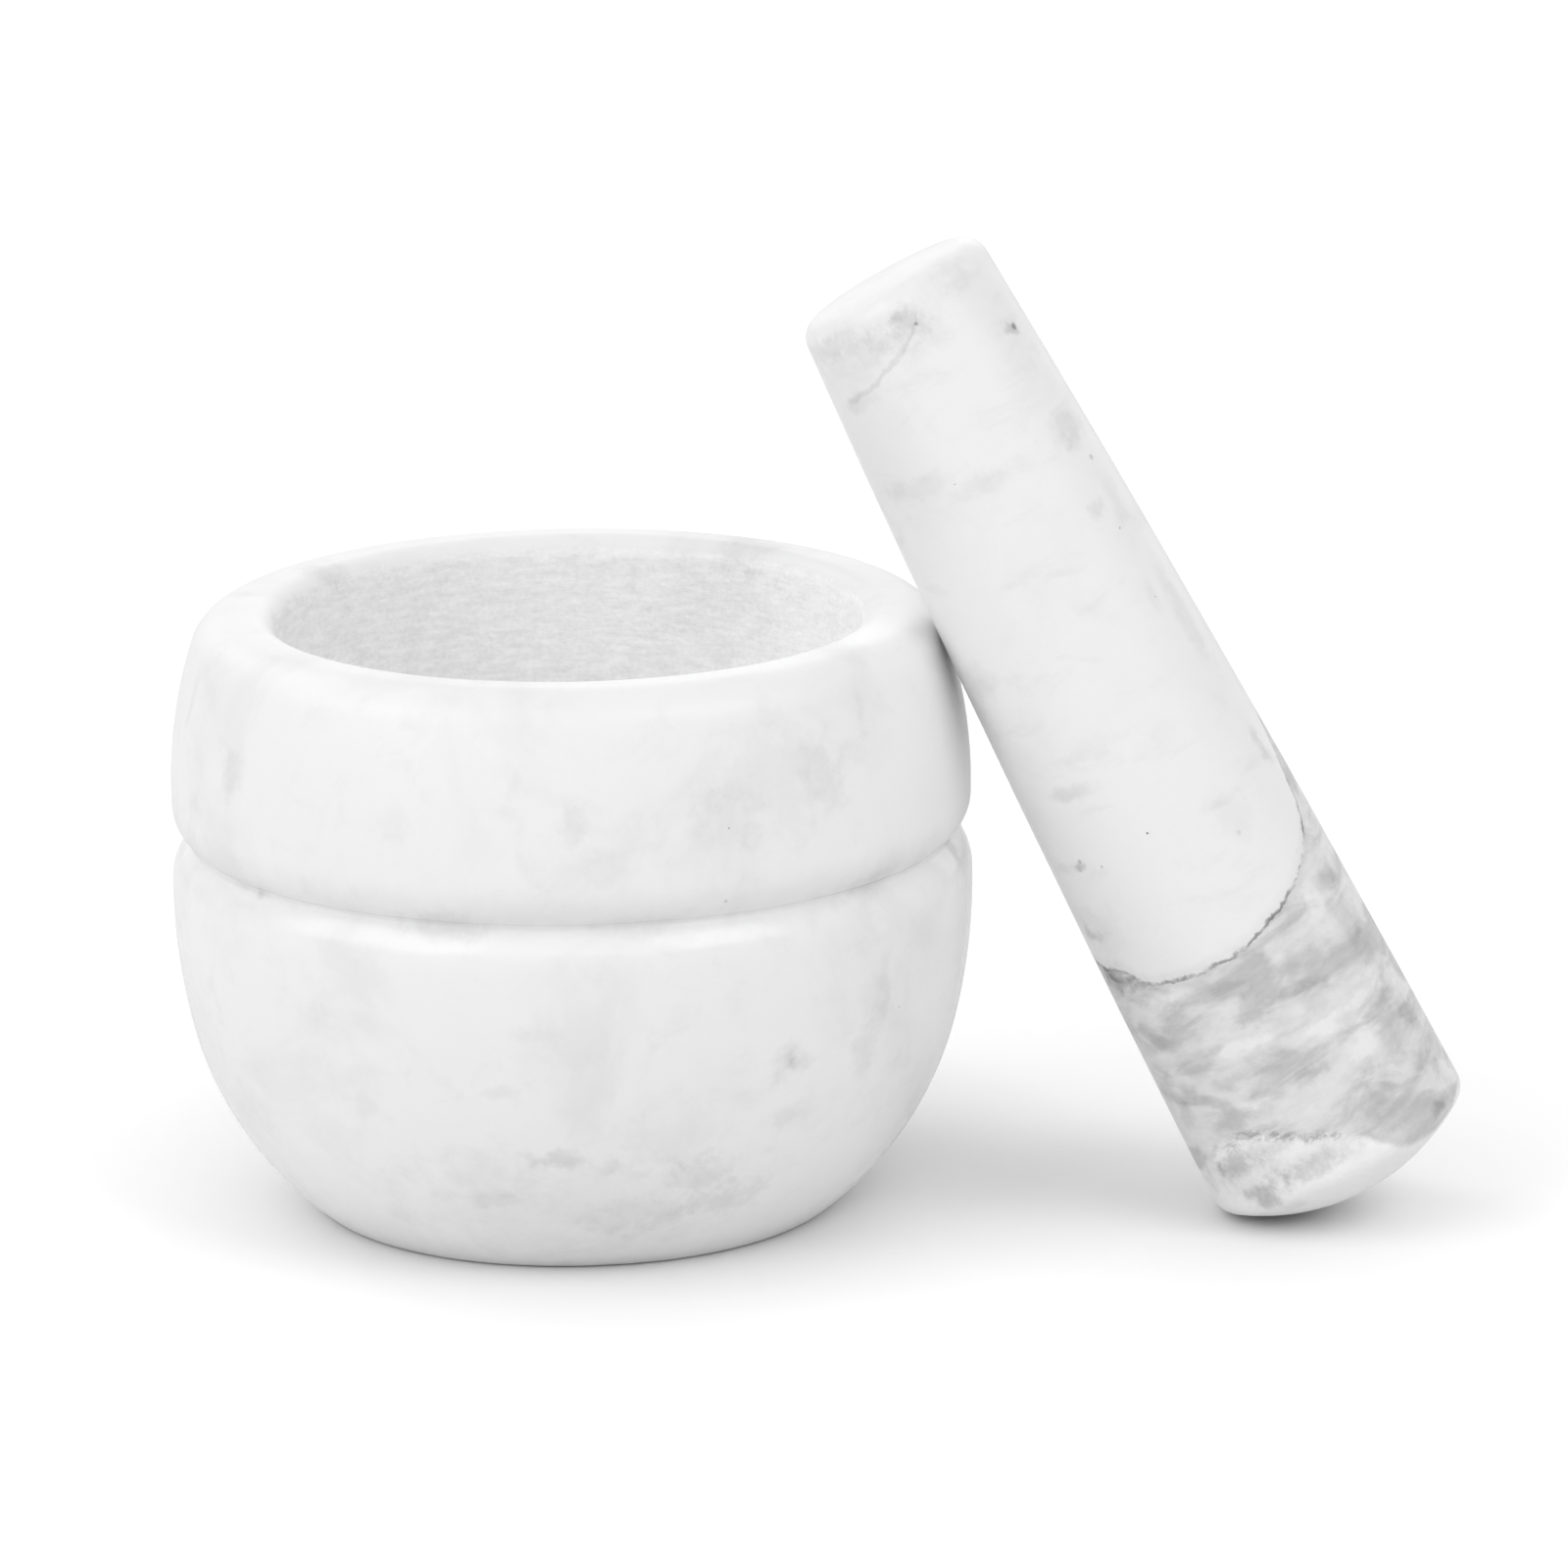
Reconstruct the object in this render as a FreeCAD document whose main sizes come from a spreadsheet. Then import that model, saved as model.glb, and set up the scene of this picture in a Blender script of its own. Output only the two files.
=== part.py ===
"""Turned marble mortar with its pestle leaning on the rim, as a parametric document.

Millimetres. The origin is the centre of the mortar's foot, on the surface that it stands on. +Z runs up
the mortar's turning axis, and +X points at the pestle. The pestle's axis lies in the XZ plane.
"""
import FreeCAD
import Part
import Sketcher
import math
import os

SIZES = [
    ("foot_radius", 32.1, "flat of the mortar's foot"),
    ("foot_edge", 1.2, "rounding between the foot and the bowl's outside"),
    ("flare_curve", 43.0, "radius of the side from the foot up to the flare's end"),
    ("flare_height", 24.0, "height where the flare meets the belly"),
    ("belly_radius", 50.0, "widest radius, below the groove"),
    ("groove_below_crown", 28.4, "from the crown down to the groove's root"),
    ("belly_drop", 6.4, "from the groove's root down to the widest radius"),
    ("groove_depth", 2.4, "depth of the groove's root below the belly"),
    ("groove_root", 0.6, "rounding in the groove's root"),
    ("groove_angle", 48.0, "slope of both flanks of the groove, in degrees from level"),
    ("lower_lip", 6.5, "rounding from the belly into the groove"),
    ("upper_lip", 4.9, "rounding from the groove into the collar"),
    ("collar_inset", 0.1, "how much narrower the collar above the groove is than the belly"),
    ("collar_rise", 6.5, "from the groove's root up to the collar's widest radius"),
    ("shoulder_round", 5.6, "rounding from the collar onto the rim"),
    ("crown_inset", 8.3, "from the collar's widest radius in to the rim's level crown"),
    ("mortar_height", 75.8, "foot to crown"),
    ("rim_width", 13.4, "from the collar's widest radius in to the bowl's mouth"),
    ("mouth_round", 3.1, "rounding from the crown into the bowl"),
    ("bowl_taper", 2.5, "how much smaller the radius of the bowl's round bottom is than the mouth's"),
    ("bowl_depth", 56.0, "crown to the bottom of the bowl"),
    ("face_curve", 27.5, "radius of the pestle's domed grinding face"),
    ("face_radius", 17.1, "radius of the corner between the face and the shank"),
    ("face_edge", 2.4, "rounding of that corner"),
    ("shank_curve", 2500.0, "radius of the shank's slight barrel shape"),
    ("top_radius", 12.35, "radius of the corner between the shank and the top"),
    ("top_edge", 2.0, "rounding of that corner"),
    ("top_curve", 95.0, "radius of the slightly domed top"),
    ("pestle_length", 129.4, "face to top, along the axis"),
    ("lean_angle", 27.06, "pestle's axis from upright, in degrees"),
    ("rim_gap", 0.1, "clearance between the shank and the rim that it leans on"),
]
CUT_OVERSHOOT = 5.0     # how far the bowl's cutting profile stands above the crown
LIP_SHARE = 0.95     # share of the groove's depth that a lip's rounding may take up with the root's
FIRST_BELLY_CURVE = 75.0     # the belly's radius follows from the arcs beside it: this is only a first guess
SLIDE_STEPS = 40     # most steps in which the pestle is slid up to the rim
SLIDE_TOLERANCE = 1e-6     # and how near to its gap it stops
START, END, CENTRE = 1, 2, 3     # how a constraint numbers the points of an edge
ORIGIN, UPRIGHT_AXIS = -1, -2     # and a sketch's own origin and vertical axis

doc = FreeCAD.newDocument("mortar_and_pestle")
sheet = doc.addObject("Spreadsheet::Sheet", "Sizes")
for row, (alias, size, meaning) in enumerate(SIZES, start=1):
    sheet.set(f"A{row}", alias)
    sheet.set(f"B{row}", str(size))
    sheet.set(f"C{row}", meaning)
    sheet.setAlias(f"B{row}", alias)
doc.recompute()


def value(expression):
    """The number that an expression over the sheet's aliases gives now."""
    return float(sheet.evalExpression(expression))


def point(across, up):
    return FreeCAD.Vector(across, up, 0)


def line(start, end):
    return Part.LineSegment(point(*start), point(*end))


def arc(start, end, radius):
    """An arc that bulges to the right of the way from start to end, or to the left if radius is negative."""
    across = end[0] - start[0]
    up = end[1] - start[1]
    chord = math.hypot(across, up)
    size = max(abs(radius), chord / 2)
    bulge = math.copysign(size - math.sqrt(size * size - chord * chord / 4), radius)
    middle = (start[0] + across / 2 + bulge * up / chord, start[1] + up / 2 - bulge * across / chord)
    return Part.ArcOfCircle(point(*start), point(*middle), point(*end))


def ends(curve):
    """How a constraint numbers a curve's first and last point: every arc counts as anticlockwise."""
    clockwise = isinstance(curve, Part.ArcOfCircle) and curve.Axis.z < 0
    return (END, START) if clockwise else (START, END)


def joins(curves, kinds):
    """Constraints that join each curve to the next one, and the last to the first."""
    constraints = []
    for number, kind in enumerate(kinds):
        following = (number + 1) % len(curves)
        leaving = ends(curves[number])[1]
        arriving = ends(curves[following])[0]
        constraints.append(Sketcher.Constraint(kind, number, leaving, following, arriving))
    return constraints


def new_sketch(body, name):
    """A sketch on the body's own XZ plane, with the sketch's vertical axis along the body's Z axis."""
    sketch = body.newObject("Sketcher::SketchObject", name)
    plane = next(item for item in body.Origin.OriginFeatures if item.Role == "XZ_Plane")
    sketch.AttachmentSupport = [(plane, "")]
    sketch.MapMode = "FlatFace"
    return sketch


def fill_sketch(sketch, curves, guides, rules, dimensions):
    """Put in the curves, the guide points, the geometric rules and the dimensions bound to the sheet.

    A dimension is (name, kind, where, expression). An angle's expression is in degrees.
    """
    sketch.addGeometry(curves, False)
    sketch.addGeometry([Part.Point(point(*guide)) for guide in guides], True)
    measured = []
    for name, kind, where, expression in dimensions:
        amount = value(expression)
        if kind == "Angle":
            amount = math.radians(amount)
        measured.append(Sketcher.Constraint(kind, *where, amount))
    sketch.addConstraint(rules + measured)
    for number, (name, kind, where, expression) in enumerate(dimensions, start=len(rules)):
        sketch.renameConstraint(number, name)
        sketch.setExpression(f".Constraints.{name}", expression)
    doc.recompute()


def revolve(body, kind, sketch, name):
    """Turn a sketch a full circle about its vertical axis, as a Revolution or a Groove."""
    feature = body.newObject(kind, name)
    feature.Profile = sketch
    feature.ReferenceAxis = (sketch, ["V_Axis"])
    feature.Angle = 360
    sketch.Visibility = False
    doc.recompute()
    return feature


# ---- Mortar: one block, turned outside, grooved round the waist and hollowed from above ----

def fitted_lip(lip):
    """A lip's rounding: its own size, or less where a shallow or flat groove leaves it less room."""
    room = f"{LIP_SHARE} * Sizes.groove_depth / (1 - sin(Sizes.groove_angle)) - Sizes.groove_root"
    return f"min(Sizes.{lip}; {room})"


foot = value("foot_radius")
edge = value("foot_edge")
belly = value("belly_radius")
waist = value("mortar_height - groove_below_crown")
root = value("groove_root")
groove_floor = value("belly_radius - groove_depth")
flank_slope = math.radians(value("groove_angle"))
first_flank = value("groove_depth / 3")
collar = value("belly_radius - collar_inset")
crown = value("belly_radius - collar_inset - crown_inset")
shoulder = value("shoulder_round")
height = value("mortar_height")

mortar = doc.addObject("PartDesign::Body", "mortar")
mortar.Label = "mortar"

# The outline goes from the axis along the foot, up the outside and back along the rim to the axis.
# These first positions are close, and the rules and dimensions below make them exact.
foot_end = (foot, 0)
edge_end = (foot + edge, edge)
flare_end = (belly, value("flare_height"))
lower_lip = value(fitted_lip("lower_lip"))
upper_lip = value(fitted_lip("upper_lip"))
belly_end = (belly, waist - lower_lip)
root_across = groove_floor + root - root * math.sin(flank_slope)
root_start = (root_across, waist - root * math.cos(flank_slope))
root_end = (root_across, waist + root * math.cos(flank_slope))
flank_across = first_flank * math.cos(flank_slope)
flank_up = first_flank * math.sin(flank_slope)
lower_lip_end = (root_start[0] + flank_across, root_start[1] - flank_up)
upper_lip_start = (root_end[0] + flank_across, root_end[1] + flank_up)
upper_lip_end = (collar, waist + upper_lip)
collar_below = value("groove_below_crown - shoulder_round - collar_rise")
collar_spare = value("crown_inset - shoulder_round")
collar_curve = (value("crown_inset^2 - shoulder_round^2") + collar_below ** 2) / (2 * collar_spare)
collar_turn = math.atan2(collar_below, collar_curve - value("crown_inset"))
collar_end = (crown + shoulder * math.cos(collar_turn), height - shoulder + shoulder * math.sin(collar_turn))
crown_end = (crown, height)
outline_curves = [
    line((0, 0), foot_end),
    arc(foot_end, edge_end, edge),
    arc(edge_end, flare_end, value("flare_curve")),
    arc(flare_end, belly_end, FIRST_BELLY_CURVE),
    arc(belly_end, lower_lip_end, lower_lip),
    line(lower_lip_end, root_start),
    arc(root_start, root_end, -root),
    line(root_end, upper_lip_start),
    arc(upper_lip_start, upper_lip_end, upper_lip),
    arc(upper_lip_end, collar_end, collar_curve),
    arc(collar_end, crown_end, shoulder),
    line(crown_end, (0, height)),
    line((0, height), (0, 0)),
]
(FOOT, EDGE, FLARE, BELLY, LOWER_LIP, LOWER_FLANK, ROOT, UPPER_FLANK, UPPER_LIP,
 COLLAR, SHOULDER, CROWN, AXIS, BELLY_GUIDE, COLLAR_GUIDE) = range(15)
outline_rules = joins(outline_curves, ["Tangent"] * 11 + ["Coincident"] * 2) + [
    Sketcher.Constraint("Coincident", FOOT, START, ORIGIN, START),
    Sketcher.Constraint("Horizontal", FOOT),
    Sketcher.Constraint("Horizontal", CROWN),
    Sketcher.Constraint("Vertical", AXIS),
    Sketcher.Constraint("PointOnObject", BELLY_GUIDE, START, BELLY),
    Sketcher.Constraint("Horizontal", BELLY_GUIDE, START, BELLY, CENTRE),
    Sketcher.Constraint("PointOnObject", COLLAR_GUIDE, START, COLLAR),
    Sketcher.Constraint("Horizontal", COLLAR_GUIDE, START, COLLAR, CENTRE),
]
outline_dimensions = [
    ("foot_radius", "DistanceX", (ORIGIN, START, FOOT, END), "Sizes.foot_radius"),
    ("foot_edge", "Radius", (EDGE,), "Sizes.foot_edge"),
    ("flare_curve", "Radius", (FLARE,), "Sizes.flare_curve"),
    ("flare_height", "DistanceY", (ORIGIN, START, FLARE, END), "Sizes.flare_height"),
    ("belly_radius", "DistanceX", (ORIGIN, START, BELLY_GUIDE, START), "Sizes.belly_radius"),
    ("belly_height", "DistanceY", (ORIGIN, START, BELLY_GUIDE, START),
     "Sizes.mortar_height - Sizes.groove_below_crown - Sizes.belly_drop"),
    ("lower_lip", "Radius", (LOWER_LIP,), fitted_lip("lower_lip")),
    ("lower_flank", "Angle", (LOWER_FLANK,), "180 - Sizes.groove_angle"),
    ("groove_root", "Radius", (ROOT,), "Sizes.groove_root"),
    ("groove_centre", "DistanceX", (ORIGIN, START, ROOT, CENTRE),
     "Sizes.belly_radius - Sizes.groove_depth + Sizes.groove_root"),
    ("groove_height", "DistanceY", (ORIGIN, START, ROOT, CENTRE),
     "Sizes.mortar_height - Sizes.groove_below_crown"),
    ("upper_flank", "Angle", (UPPER_FLANK,), "Sizes.groove_angle"),
    ("upper_lip", "Radius", (UPPER_LIP,), fitted_lip("upper_lip")),
    ("collar_radius", "DistanceX", (ORIGIN, START, COLLAR_GUIDE, START),
     "Sizes.belly_radius - Sizes.collar_inset"),
    ("collar_height", "DistanceY", (ORIGIN, START, COLLAR_GUIDE, START),
     "Sizes.mortar_height - Sizes.groove_below_crown + Sizes.collar_rise"),
    ("shoulder_round", "Radius", (SHOULDER,), "Sizes.shoulder_round"),
    ("crown_radius", "DistanceX", (ORIGIN, START, SHOULDER, CENTRE),
     "Sizes.belly_radius - Sizes.collar_inset - Sizes.crown_inset"),
    ("mortar_height", "DistanceY", (ORIGIN, START, CROWN, START), "Sizes.mortar_height"),
]
outline = new_sketch(mortar, "mortar_outline")
guides = [
    (belly, waist - value("belly_drop")),
    (collar, waist + value("collar_rise")),
]
fill_sketch(outline, outline_curves, guides, outline_rules, outline_dimensions)
revolve(mortar, "PartDesign::Revolution", outline, "turned_block")

# The bowl is cut from above: a round bottom, a wall that opens out a little, and a rounded mouth.
mouth = value("belly_radius - collar_inset - rim_width")
mouth_round = value("mouth_round")
bowl_floor = value("mortar_height - bowl_depth")
bowl_curve = mouth - value("bowl_taper")
wall_top = (mouth, height - mouth_round)
wall_bottom = (bowl_curve, bowl_floor + bowl_curve)
bowl_curves = [
    arc((0, bowl_floor), wall_bottom, bowl_curve),
    line(wall_bottom, wall_top),
    arc(wall_top, (mouth + mouth_round, height), -mouth_round),
    line((mouth + mouth_round, height), (mouth + mouth_round, height + CUT_OVERSHOOT)),
    line((mouth + mouth_round, height + CUT_OVERSHOOT), (0, height + CUT_OVERSHOOT)),
    line((0, height + CUT_OVERSHOOT), (0, bowl_floor)),
]
BOTTOM, WALL, MOUTH, OPEN_SIDE, OPEN_TOP, BOWL_AXIS = range(6)
bowl_rules = joins(bowl_curves, ["Tangent", "Tangent"] + ["Coincident"] * 4) + [
    Sketcher.Constraint("PointOnObject", BOTTOM, CENTRE, UPRIGHT_AXIS),
    Sketcher.Constraint("PointOnObject", BOWL_AXIS, START, UPRIGHT_AXIS),
    Sketcher.Constraint("Vertical", BOWL_AXIS),
    Sketcher.Constraint("Horizontal", OPEN_TOP),
    Sketcher.Constraint("Vertical", OPEN_SIDE),
    Sketcher.Constraint("Vertical", OPEN_SIDE, START, MOUTH, CENTRE),
]
bowl_dimensions = [
    ("bowl_curve", "Radius", (BOTTOM,),
     "Sizes.belly_radius - Sizes.collar_inset - Sizes.rim_width - Sizes.bowl_taper"),
    ("bowl_floor", "DistanceY", (ORIGIN, START, BOWL_AXIS, END), "Sizes.mortar_height - Sizes.bowl_depth"),
    ("mouth_round", "Radius", (MOUTH,), "Sizes.mouth_round"),
    ("mouth_radius", "DistanceX", (ORIGIN, START, MOUTH, CENTRE),
     "Sizes.belly_radius - Sizes.collar_inset - Sizes.rim_width + Sizes.mouth_round"),
    ("mouth_height", "DistanceY", (ORIGIN, START, MOUTH, CENTRE), "Sizes.mortar_height - Sizes.mouth_round"),
    ("open_top", "DistanceY", (ORIGIN, START, OPEN_TOP, START), f"Sizes.mortar_height + {CUT_OVERSHOOT}"),
]
bowl = new_sketch(mortar, "bowl_profile")
fill_sketch(bowl, bowl_curves, [], bowl_rules, bowl_dimensions)
block_volume = mortar.Shape.Volume
revolve(mortar, "PartDesign::Groove", bowl, "hollowed_bowl")
if mortar.Shape.Volume >= block_volume:
    raise RuntimeError("the bowl was not cut")


# ---- Pestle: one bar, turned to a slight barrel shape, with a domed face and a rounded top ----

face = value("face_curve")
face_radius = value("face_radius")
face_edge = value("face_edge")
top_radius = value("top_radius")
top_edge = value("top_edge")
top_height = value("pestle_length - face_curve")
corner_depth = -math.sqrt(face * face - face_radius * face_radius)

pestle = doc.addObject("PartDesign::Body", "pestle")
pestle.Label = "pestle"

# The outline is drawn about the centre of the face's sphere, from the face up the shank to the top.
face_end = (face_radius - face_edge, corner_depth)
shank_start = (face_radius, corner_depth + face_edge)
shank_end = (top_radius, top_height - top_edge)
top_start = (top_radius - top_edge, top_height)
shank_curves = [
    arc((0, -face), face_end, face),
    arc(face_end, shank_start, face_edge),
    arc(shank_start, shank_end, value("shank_curve")),
    arc(shank_end, top_start, top_edge),
    arc(top_start, (0, top_height), value("top_curve")),
    line((0, top_height), (0, -face)),
]
FACE, FACE_EDGE, SHANK, TOP_EDGE, TOP, SHANK_AXIS, FACE_CORNER, TOP_CORNER = range(8)
shank_rules = joins(shank_curves, ["Tangent"] * 4 + ["Coincident"] * 2) + [
    Sketcher.Constraint("Coincident", FACE, CENTRE, ORIGIN, START),
    Sketcher.Constraint("PointOnObject", SHANK_AXIS, START, UPRIGHT_AXIS),
    Sketcher.Constraint("Vertical", SHANK_AXIS),
    Sketcher.Constraint("PointOnObject", TOP, CENTRE, UPRIGHT_AXIS),
    Sketcher.Constraint("PointOnObject", FACE_CORNER, START, FACE),
    Sketcher.Constraint("PointOnObject", FACE_CORNER, START, SHANK),
    Sketcher.Constraint("PointOnObject", TOP_CORNER, START, SHANK),
]
shank_dimensions = [
    ("face_curve", "Radius", (FACE,), "Sizes.face_curve"),
    ("face_edge", "Radius", (FACE_EDGE,), "Sizes.face_edge"),
    ("shank_curve", "Radius", (SHANK,), "Sizes.shank_curve"),
    ("top_edge", "Radius", (TOP_EDGE,), "Sizes.top_edge"),
    ("top_curve", "Radius", (TOP,), "Sizes.top_curve"),
    ("pestle_length", "DistanceY", (ORIGIN, START, SHANK_AXIS, START),
     "Sizes.pestle_length - Sizes.face_curve"),
    ("face_radius", "DistanceX", (ORIGIN, START, FACE_CORNER, START), "Sizes.face_radius"),
    ("top_radius", "DistanceX", (ORIGIN, START, TOP_CORNER, START), "Sizes.top_radius"),
    ("top_corner", "DistanceY", (ORIGIN, START, TOP_CORNER, START),
     "Sizes.pestle_length - Sizes.face_curve"),
]
shank = new_sketch(pestle, "pestle_outline")
guides = [(face_radius, corner_depth), (top_radius, top_height)]
fill_sketch(shank, shank_curves, guides, shank_rules, shank_dimensions)
revolve(pestle, "PartDesign::Revolution", shank, "turned_bar")

# The pestle stands on its domed face, leans back and is slid along X up to the mortar. Both outlines lie in
# the plane of the two axes, the pestle's turned half round so that it is the side that faces the mortar.
leaning = FreeCAD.Rotation(FreeCAD.Vector(0, 1, 0), -value("lean_angle"))
half_turn = FreeCAD.Rotation(FreeCAD.Vector(0, 0, 1), 180)
stand_off = value("belly_radius + pestle_length")
for step in range(SLIDE_STEPS):
    near_side = FreeCAD.Placement(FreeCAD.Vector(stand_off, 0, face), leaning * half_turn)
    clearance = outline.Shape.distToShape(shank.Shape.transformed(near_side.toMatrix()))[0]
    spare = clearance - value("rim_gap")
    if spare < SLIDE_TOLERANCE:
        break
    stand_off -= spare
pestle.Placement = FreeCAD.Placement(FreeCAD.Vector(stand_off, 0, face), leaning)
doc.recompute()
print(f"pestle stands {stand_off:.3f} mm from the mortar's axis, {clearance:.4f} mm clear of it")

# ---- Checks and files ----

for item in doc.Objects:
    if "Invalid" in item.State or "Error" in item.State:
        raise RuntimeError(f"{item.Label} failed: {item.State}")
for sketch in (outline, bowl, shank):
    if not sketch.FullyConstrained:
        raise RuntimeError(f"{sketch.Label} is not fully constrained")
os.makedirs("parts", exist_ok=True)
for body in (mortar, pestle):
    if body.Shape.isNull() or not body.Shape.isValid():
        raise RuntimeError(f"{body.Label} has no valid shape")
    body.Shape.exportStep(f"parts/{body.Label}.step")
    print(f"{body.Label}: {body.Shape.Volume / 1000:.1f} cm3, {body.Shape.BoundBox}")
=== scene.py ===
import bpy
import math
import numpy as np
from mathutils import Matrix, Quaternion, Vector, noise


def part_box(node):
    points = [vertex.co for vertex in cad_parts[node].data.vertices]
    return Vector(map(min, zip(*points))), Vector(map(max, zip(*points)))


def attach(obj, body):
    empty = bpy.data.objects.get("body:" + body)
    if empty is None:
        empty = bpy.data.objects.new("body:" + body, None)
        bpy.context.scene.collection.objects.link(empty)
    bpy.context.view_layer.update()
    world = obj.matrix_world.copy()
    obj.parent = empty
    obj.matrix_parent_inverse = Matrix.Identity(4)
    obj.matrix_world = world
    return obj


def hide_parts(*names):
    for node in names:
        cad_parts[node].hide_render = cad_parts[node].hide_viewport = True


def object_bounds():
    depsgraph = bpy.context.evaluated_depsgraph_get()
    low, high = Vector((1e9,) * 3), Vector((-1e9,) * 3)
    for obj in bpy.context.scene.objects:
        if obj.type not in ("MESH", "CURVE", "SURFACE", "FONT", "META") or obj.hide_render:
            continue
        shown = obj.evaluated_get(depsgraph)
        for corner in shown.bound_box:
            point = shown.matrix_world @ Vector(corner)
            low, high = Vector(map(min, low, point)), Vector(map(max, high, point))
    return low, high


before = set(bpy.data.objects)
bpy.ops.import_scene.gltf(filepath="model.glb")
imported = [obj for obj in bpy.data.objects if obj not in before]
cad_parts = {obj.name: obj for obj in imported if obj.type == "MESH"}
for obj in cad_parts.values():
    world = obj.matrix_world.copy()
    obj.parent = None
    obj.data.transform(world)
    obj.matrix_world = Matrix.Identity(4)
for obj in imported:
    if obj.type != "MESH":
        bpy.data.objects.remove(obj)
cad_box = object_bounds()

scene = bpy.context.scene
scene.view_settings.view_transform = "Standard"

# ---- Camera ----
# A camera on a stand, with a long lens, a little above the mortar's rim and seven degrees round to the
# pestle's side of the front. It is aimed a little under the middle of the two pieces.

LENS = 219.4
SENSOR = 36.0
VIEW_AZIMUTH = math.radians(7.32)
VIEW_ELEVATION = math.radians(14.65)
VIEW_DISTANCE = 1.194
VIEW_ROLL = math.radians(-0.714)
AIM_OFFSET = Vector((-0.0043, 0.0040, -0.0090))
FARTHEST_SEEN = 50

lowest, highest = (Vector(corner) for corner in cad_box)
aim = (lowest + highest) / 2 + AIM_OFFSET
outward = Vector((
    math.cos(VIEW_ELEVATION) * math.sin(VIEW_AZIMUTH),
    -math.cos(VIEW_ELEVATION) * math.cos(VIEW_AZIMUTH),
    math.sin(VIEW_ELEVATION),
))
camera_data = bpy.data.cameras.new("camera")
camera_data.lens = LENS
camera_data.sensor_width = SENSOR
camera_data.clip_end = FARTHEST_SEEN
camera = bpy.data.objects.new("camera", camera_data)
camera.location = aim + VIEW_DISTANCE * outward
facing = (-outward).to_track_quat("-Z", "Y")
camera.rotation_mode = "QUATERNION"
camera.rotation_quaternion = facing @ Quaternion((0, 0, 1), VIEW_ROLL)
scene.collection.objects.link(camera)
scene.camera = camera

# ---- Studio ----
# A wide sheet of white paper under a white tent, with a brighter sheet hung behind. Five soft boxes
# stand round it, the largest on the left, and the exposure burns the open paper out to white.

PAPER_SIZE = 16.0
PAPER_DROP = 0.0001
PAPER_WHITE = 0.86
PAPER_BURNT_OUT = 1.12
# The painted contact shadow on the paper: how far it reaches, how deep it goes and how many rays find it.
PAINTED_SHADOW_REACH = 0.034
PAINTED_SHADOW_DEPTH = 0.28
PAINTED_SHADOW_RAYS = 8
FAR_PAPER_START = 0.35
FAR_PAPER_END = 1.8
FAR_PAPER_GAIN = 0.9
TENT_BRIGHTNESS = 0.60
SHEET_SIDE = (0.0, 1.0, 0.0)
SHEET_BRIGHTNESS = 0.60
SHEET_EDGE = 0.5
SHEET_MIDDLE = 0.95
SHEET_TOP_START = 0.3
SHEET_TOP_END = 0.65
BACKDROP_WHITE = 1.05
# Each soft box: bearing from the front, elevation, distance, width, height and power.
SOFT_BOXES = {
    "key_box": (-55, 35, 1.6, 1.5, 1.0, 7.8),
    "front_box": (2, 33, 1.6, 2.0, 0.3, 1.9),
    "right_box": (56, 42, 1.6, 0.9, 0.9, 5.7),
    "back_box": (175, 25, 1.6, 0.9, 0.9, 1.3),
    "left_back_box": (-125, 40, 1.6, 0.9, 0.9, 2.3),
}


def add_node(tree, kind, sockets=None, **settings):
    """Add a shader node, make its settings, and fill its inputs with values or with other nodes' outputs."""
    added = tree.nodes.new(kind)
    for setting, choice in settings.items():
        setattr(added, setting, choice)
    for socket, source in (sockets or {}).items():
        if isinstance(source, bpy.types.NodeSocket):
            tree.links.new(source, added.inputs[socket])
        else:
            added.inputs[socket].default_value = source
    return added


def new_material(name):
    """An empty material with its output node."""
    material = bpy.data.materials.new(name)
    material.use_nodes = True
    material.node_tree.nodes.clear()
    output = material.node_tree.nodes.new("ShaderNodeOutputMaterial")
    return material, material.node_tree, output


def maths(tree, operation, *values):
    """One step of arithmetic on numbers or on other nodes' outputs."""
    return add_node(tree, "ShaderNodeMath", dict(enumerate(values)), operation=operation).outputs[0]


def smooth_step(tree, value, low, high):
    """0 where value is under low, 1 where it is over high, and a smooth rise between."""
    step = add_node(
        tree, "ShaderNodeMapRange", {"Value": value, "From Min": low, "From Max": high},
        interpolation_type="SMOOTHERSTEP")
    return step.outputs[0]


def blend(tree, share, low, high):
    """low where share is 0, high where it is 1, and a mixture between."""
    mix = add_node(tree, "ShaderNodeMix", {0: share, 2: low, 3: high}, data_type="FLOAT")
    return mix.outputs[0]


def less(tree, value):
    """One less the value."""
    return maths(tree, "SUBTRACT", 1.0, value)


def softbox(name, azimuth, elevation, distance, width, height, power):
    """An area lamp that faces the object, placed by its bearing from the front, elevation and distance."""
    turn = math.radians(azimuth)
    rise = math.radians(elevation)
    away = Vector((math.cos(rise) * math.sin(turn), -math.cos(rise) * math.cos(turn), math.sin(rise)))
    lamp = bpy.data.lights.new(name, "AREA")
    lamp.shape = "RECTANGLE"
    lamp.size = width
    lamp.size_y = height
    lamp.energy = power
    box = bpy.data.objects.new(name, lamp)
    box.location = aim + distance * away
    box.rotation_mode = "QUATERNION"
    box.rotation_quaternion = (-away).to_track_quat("-Z", "Y")
    box.visible_camera = False
    scene.collection.objects.link(box)


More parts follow.
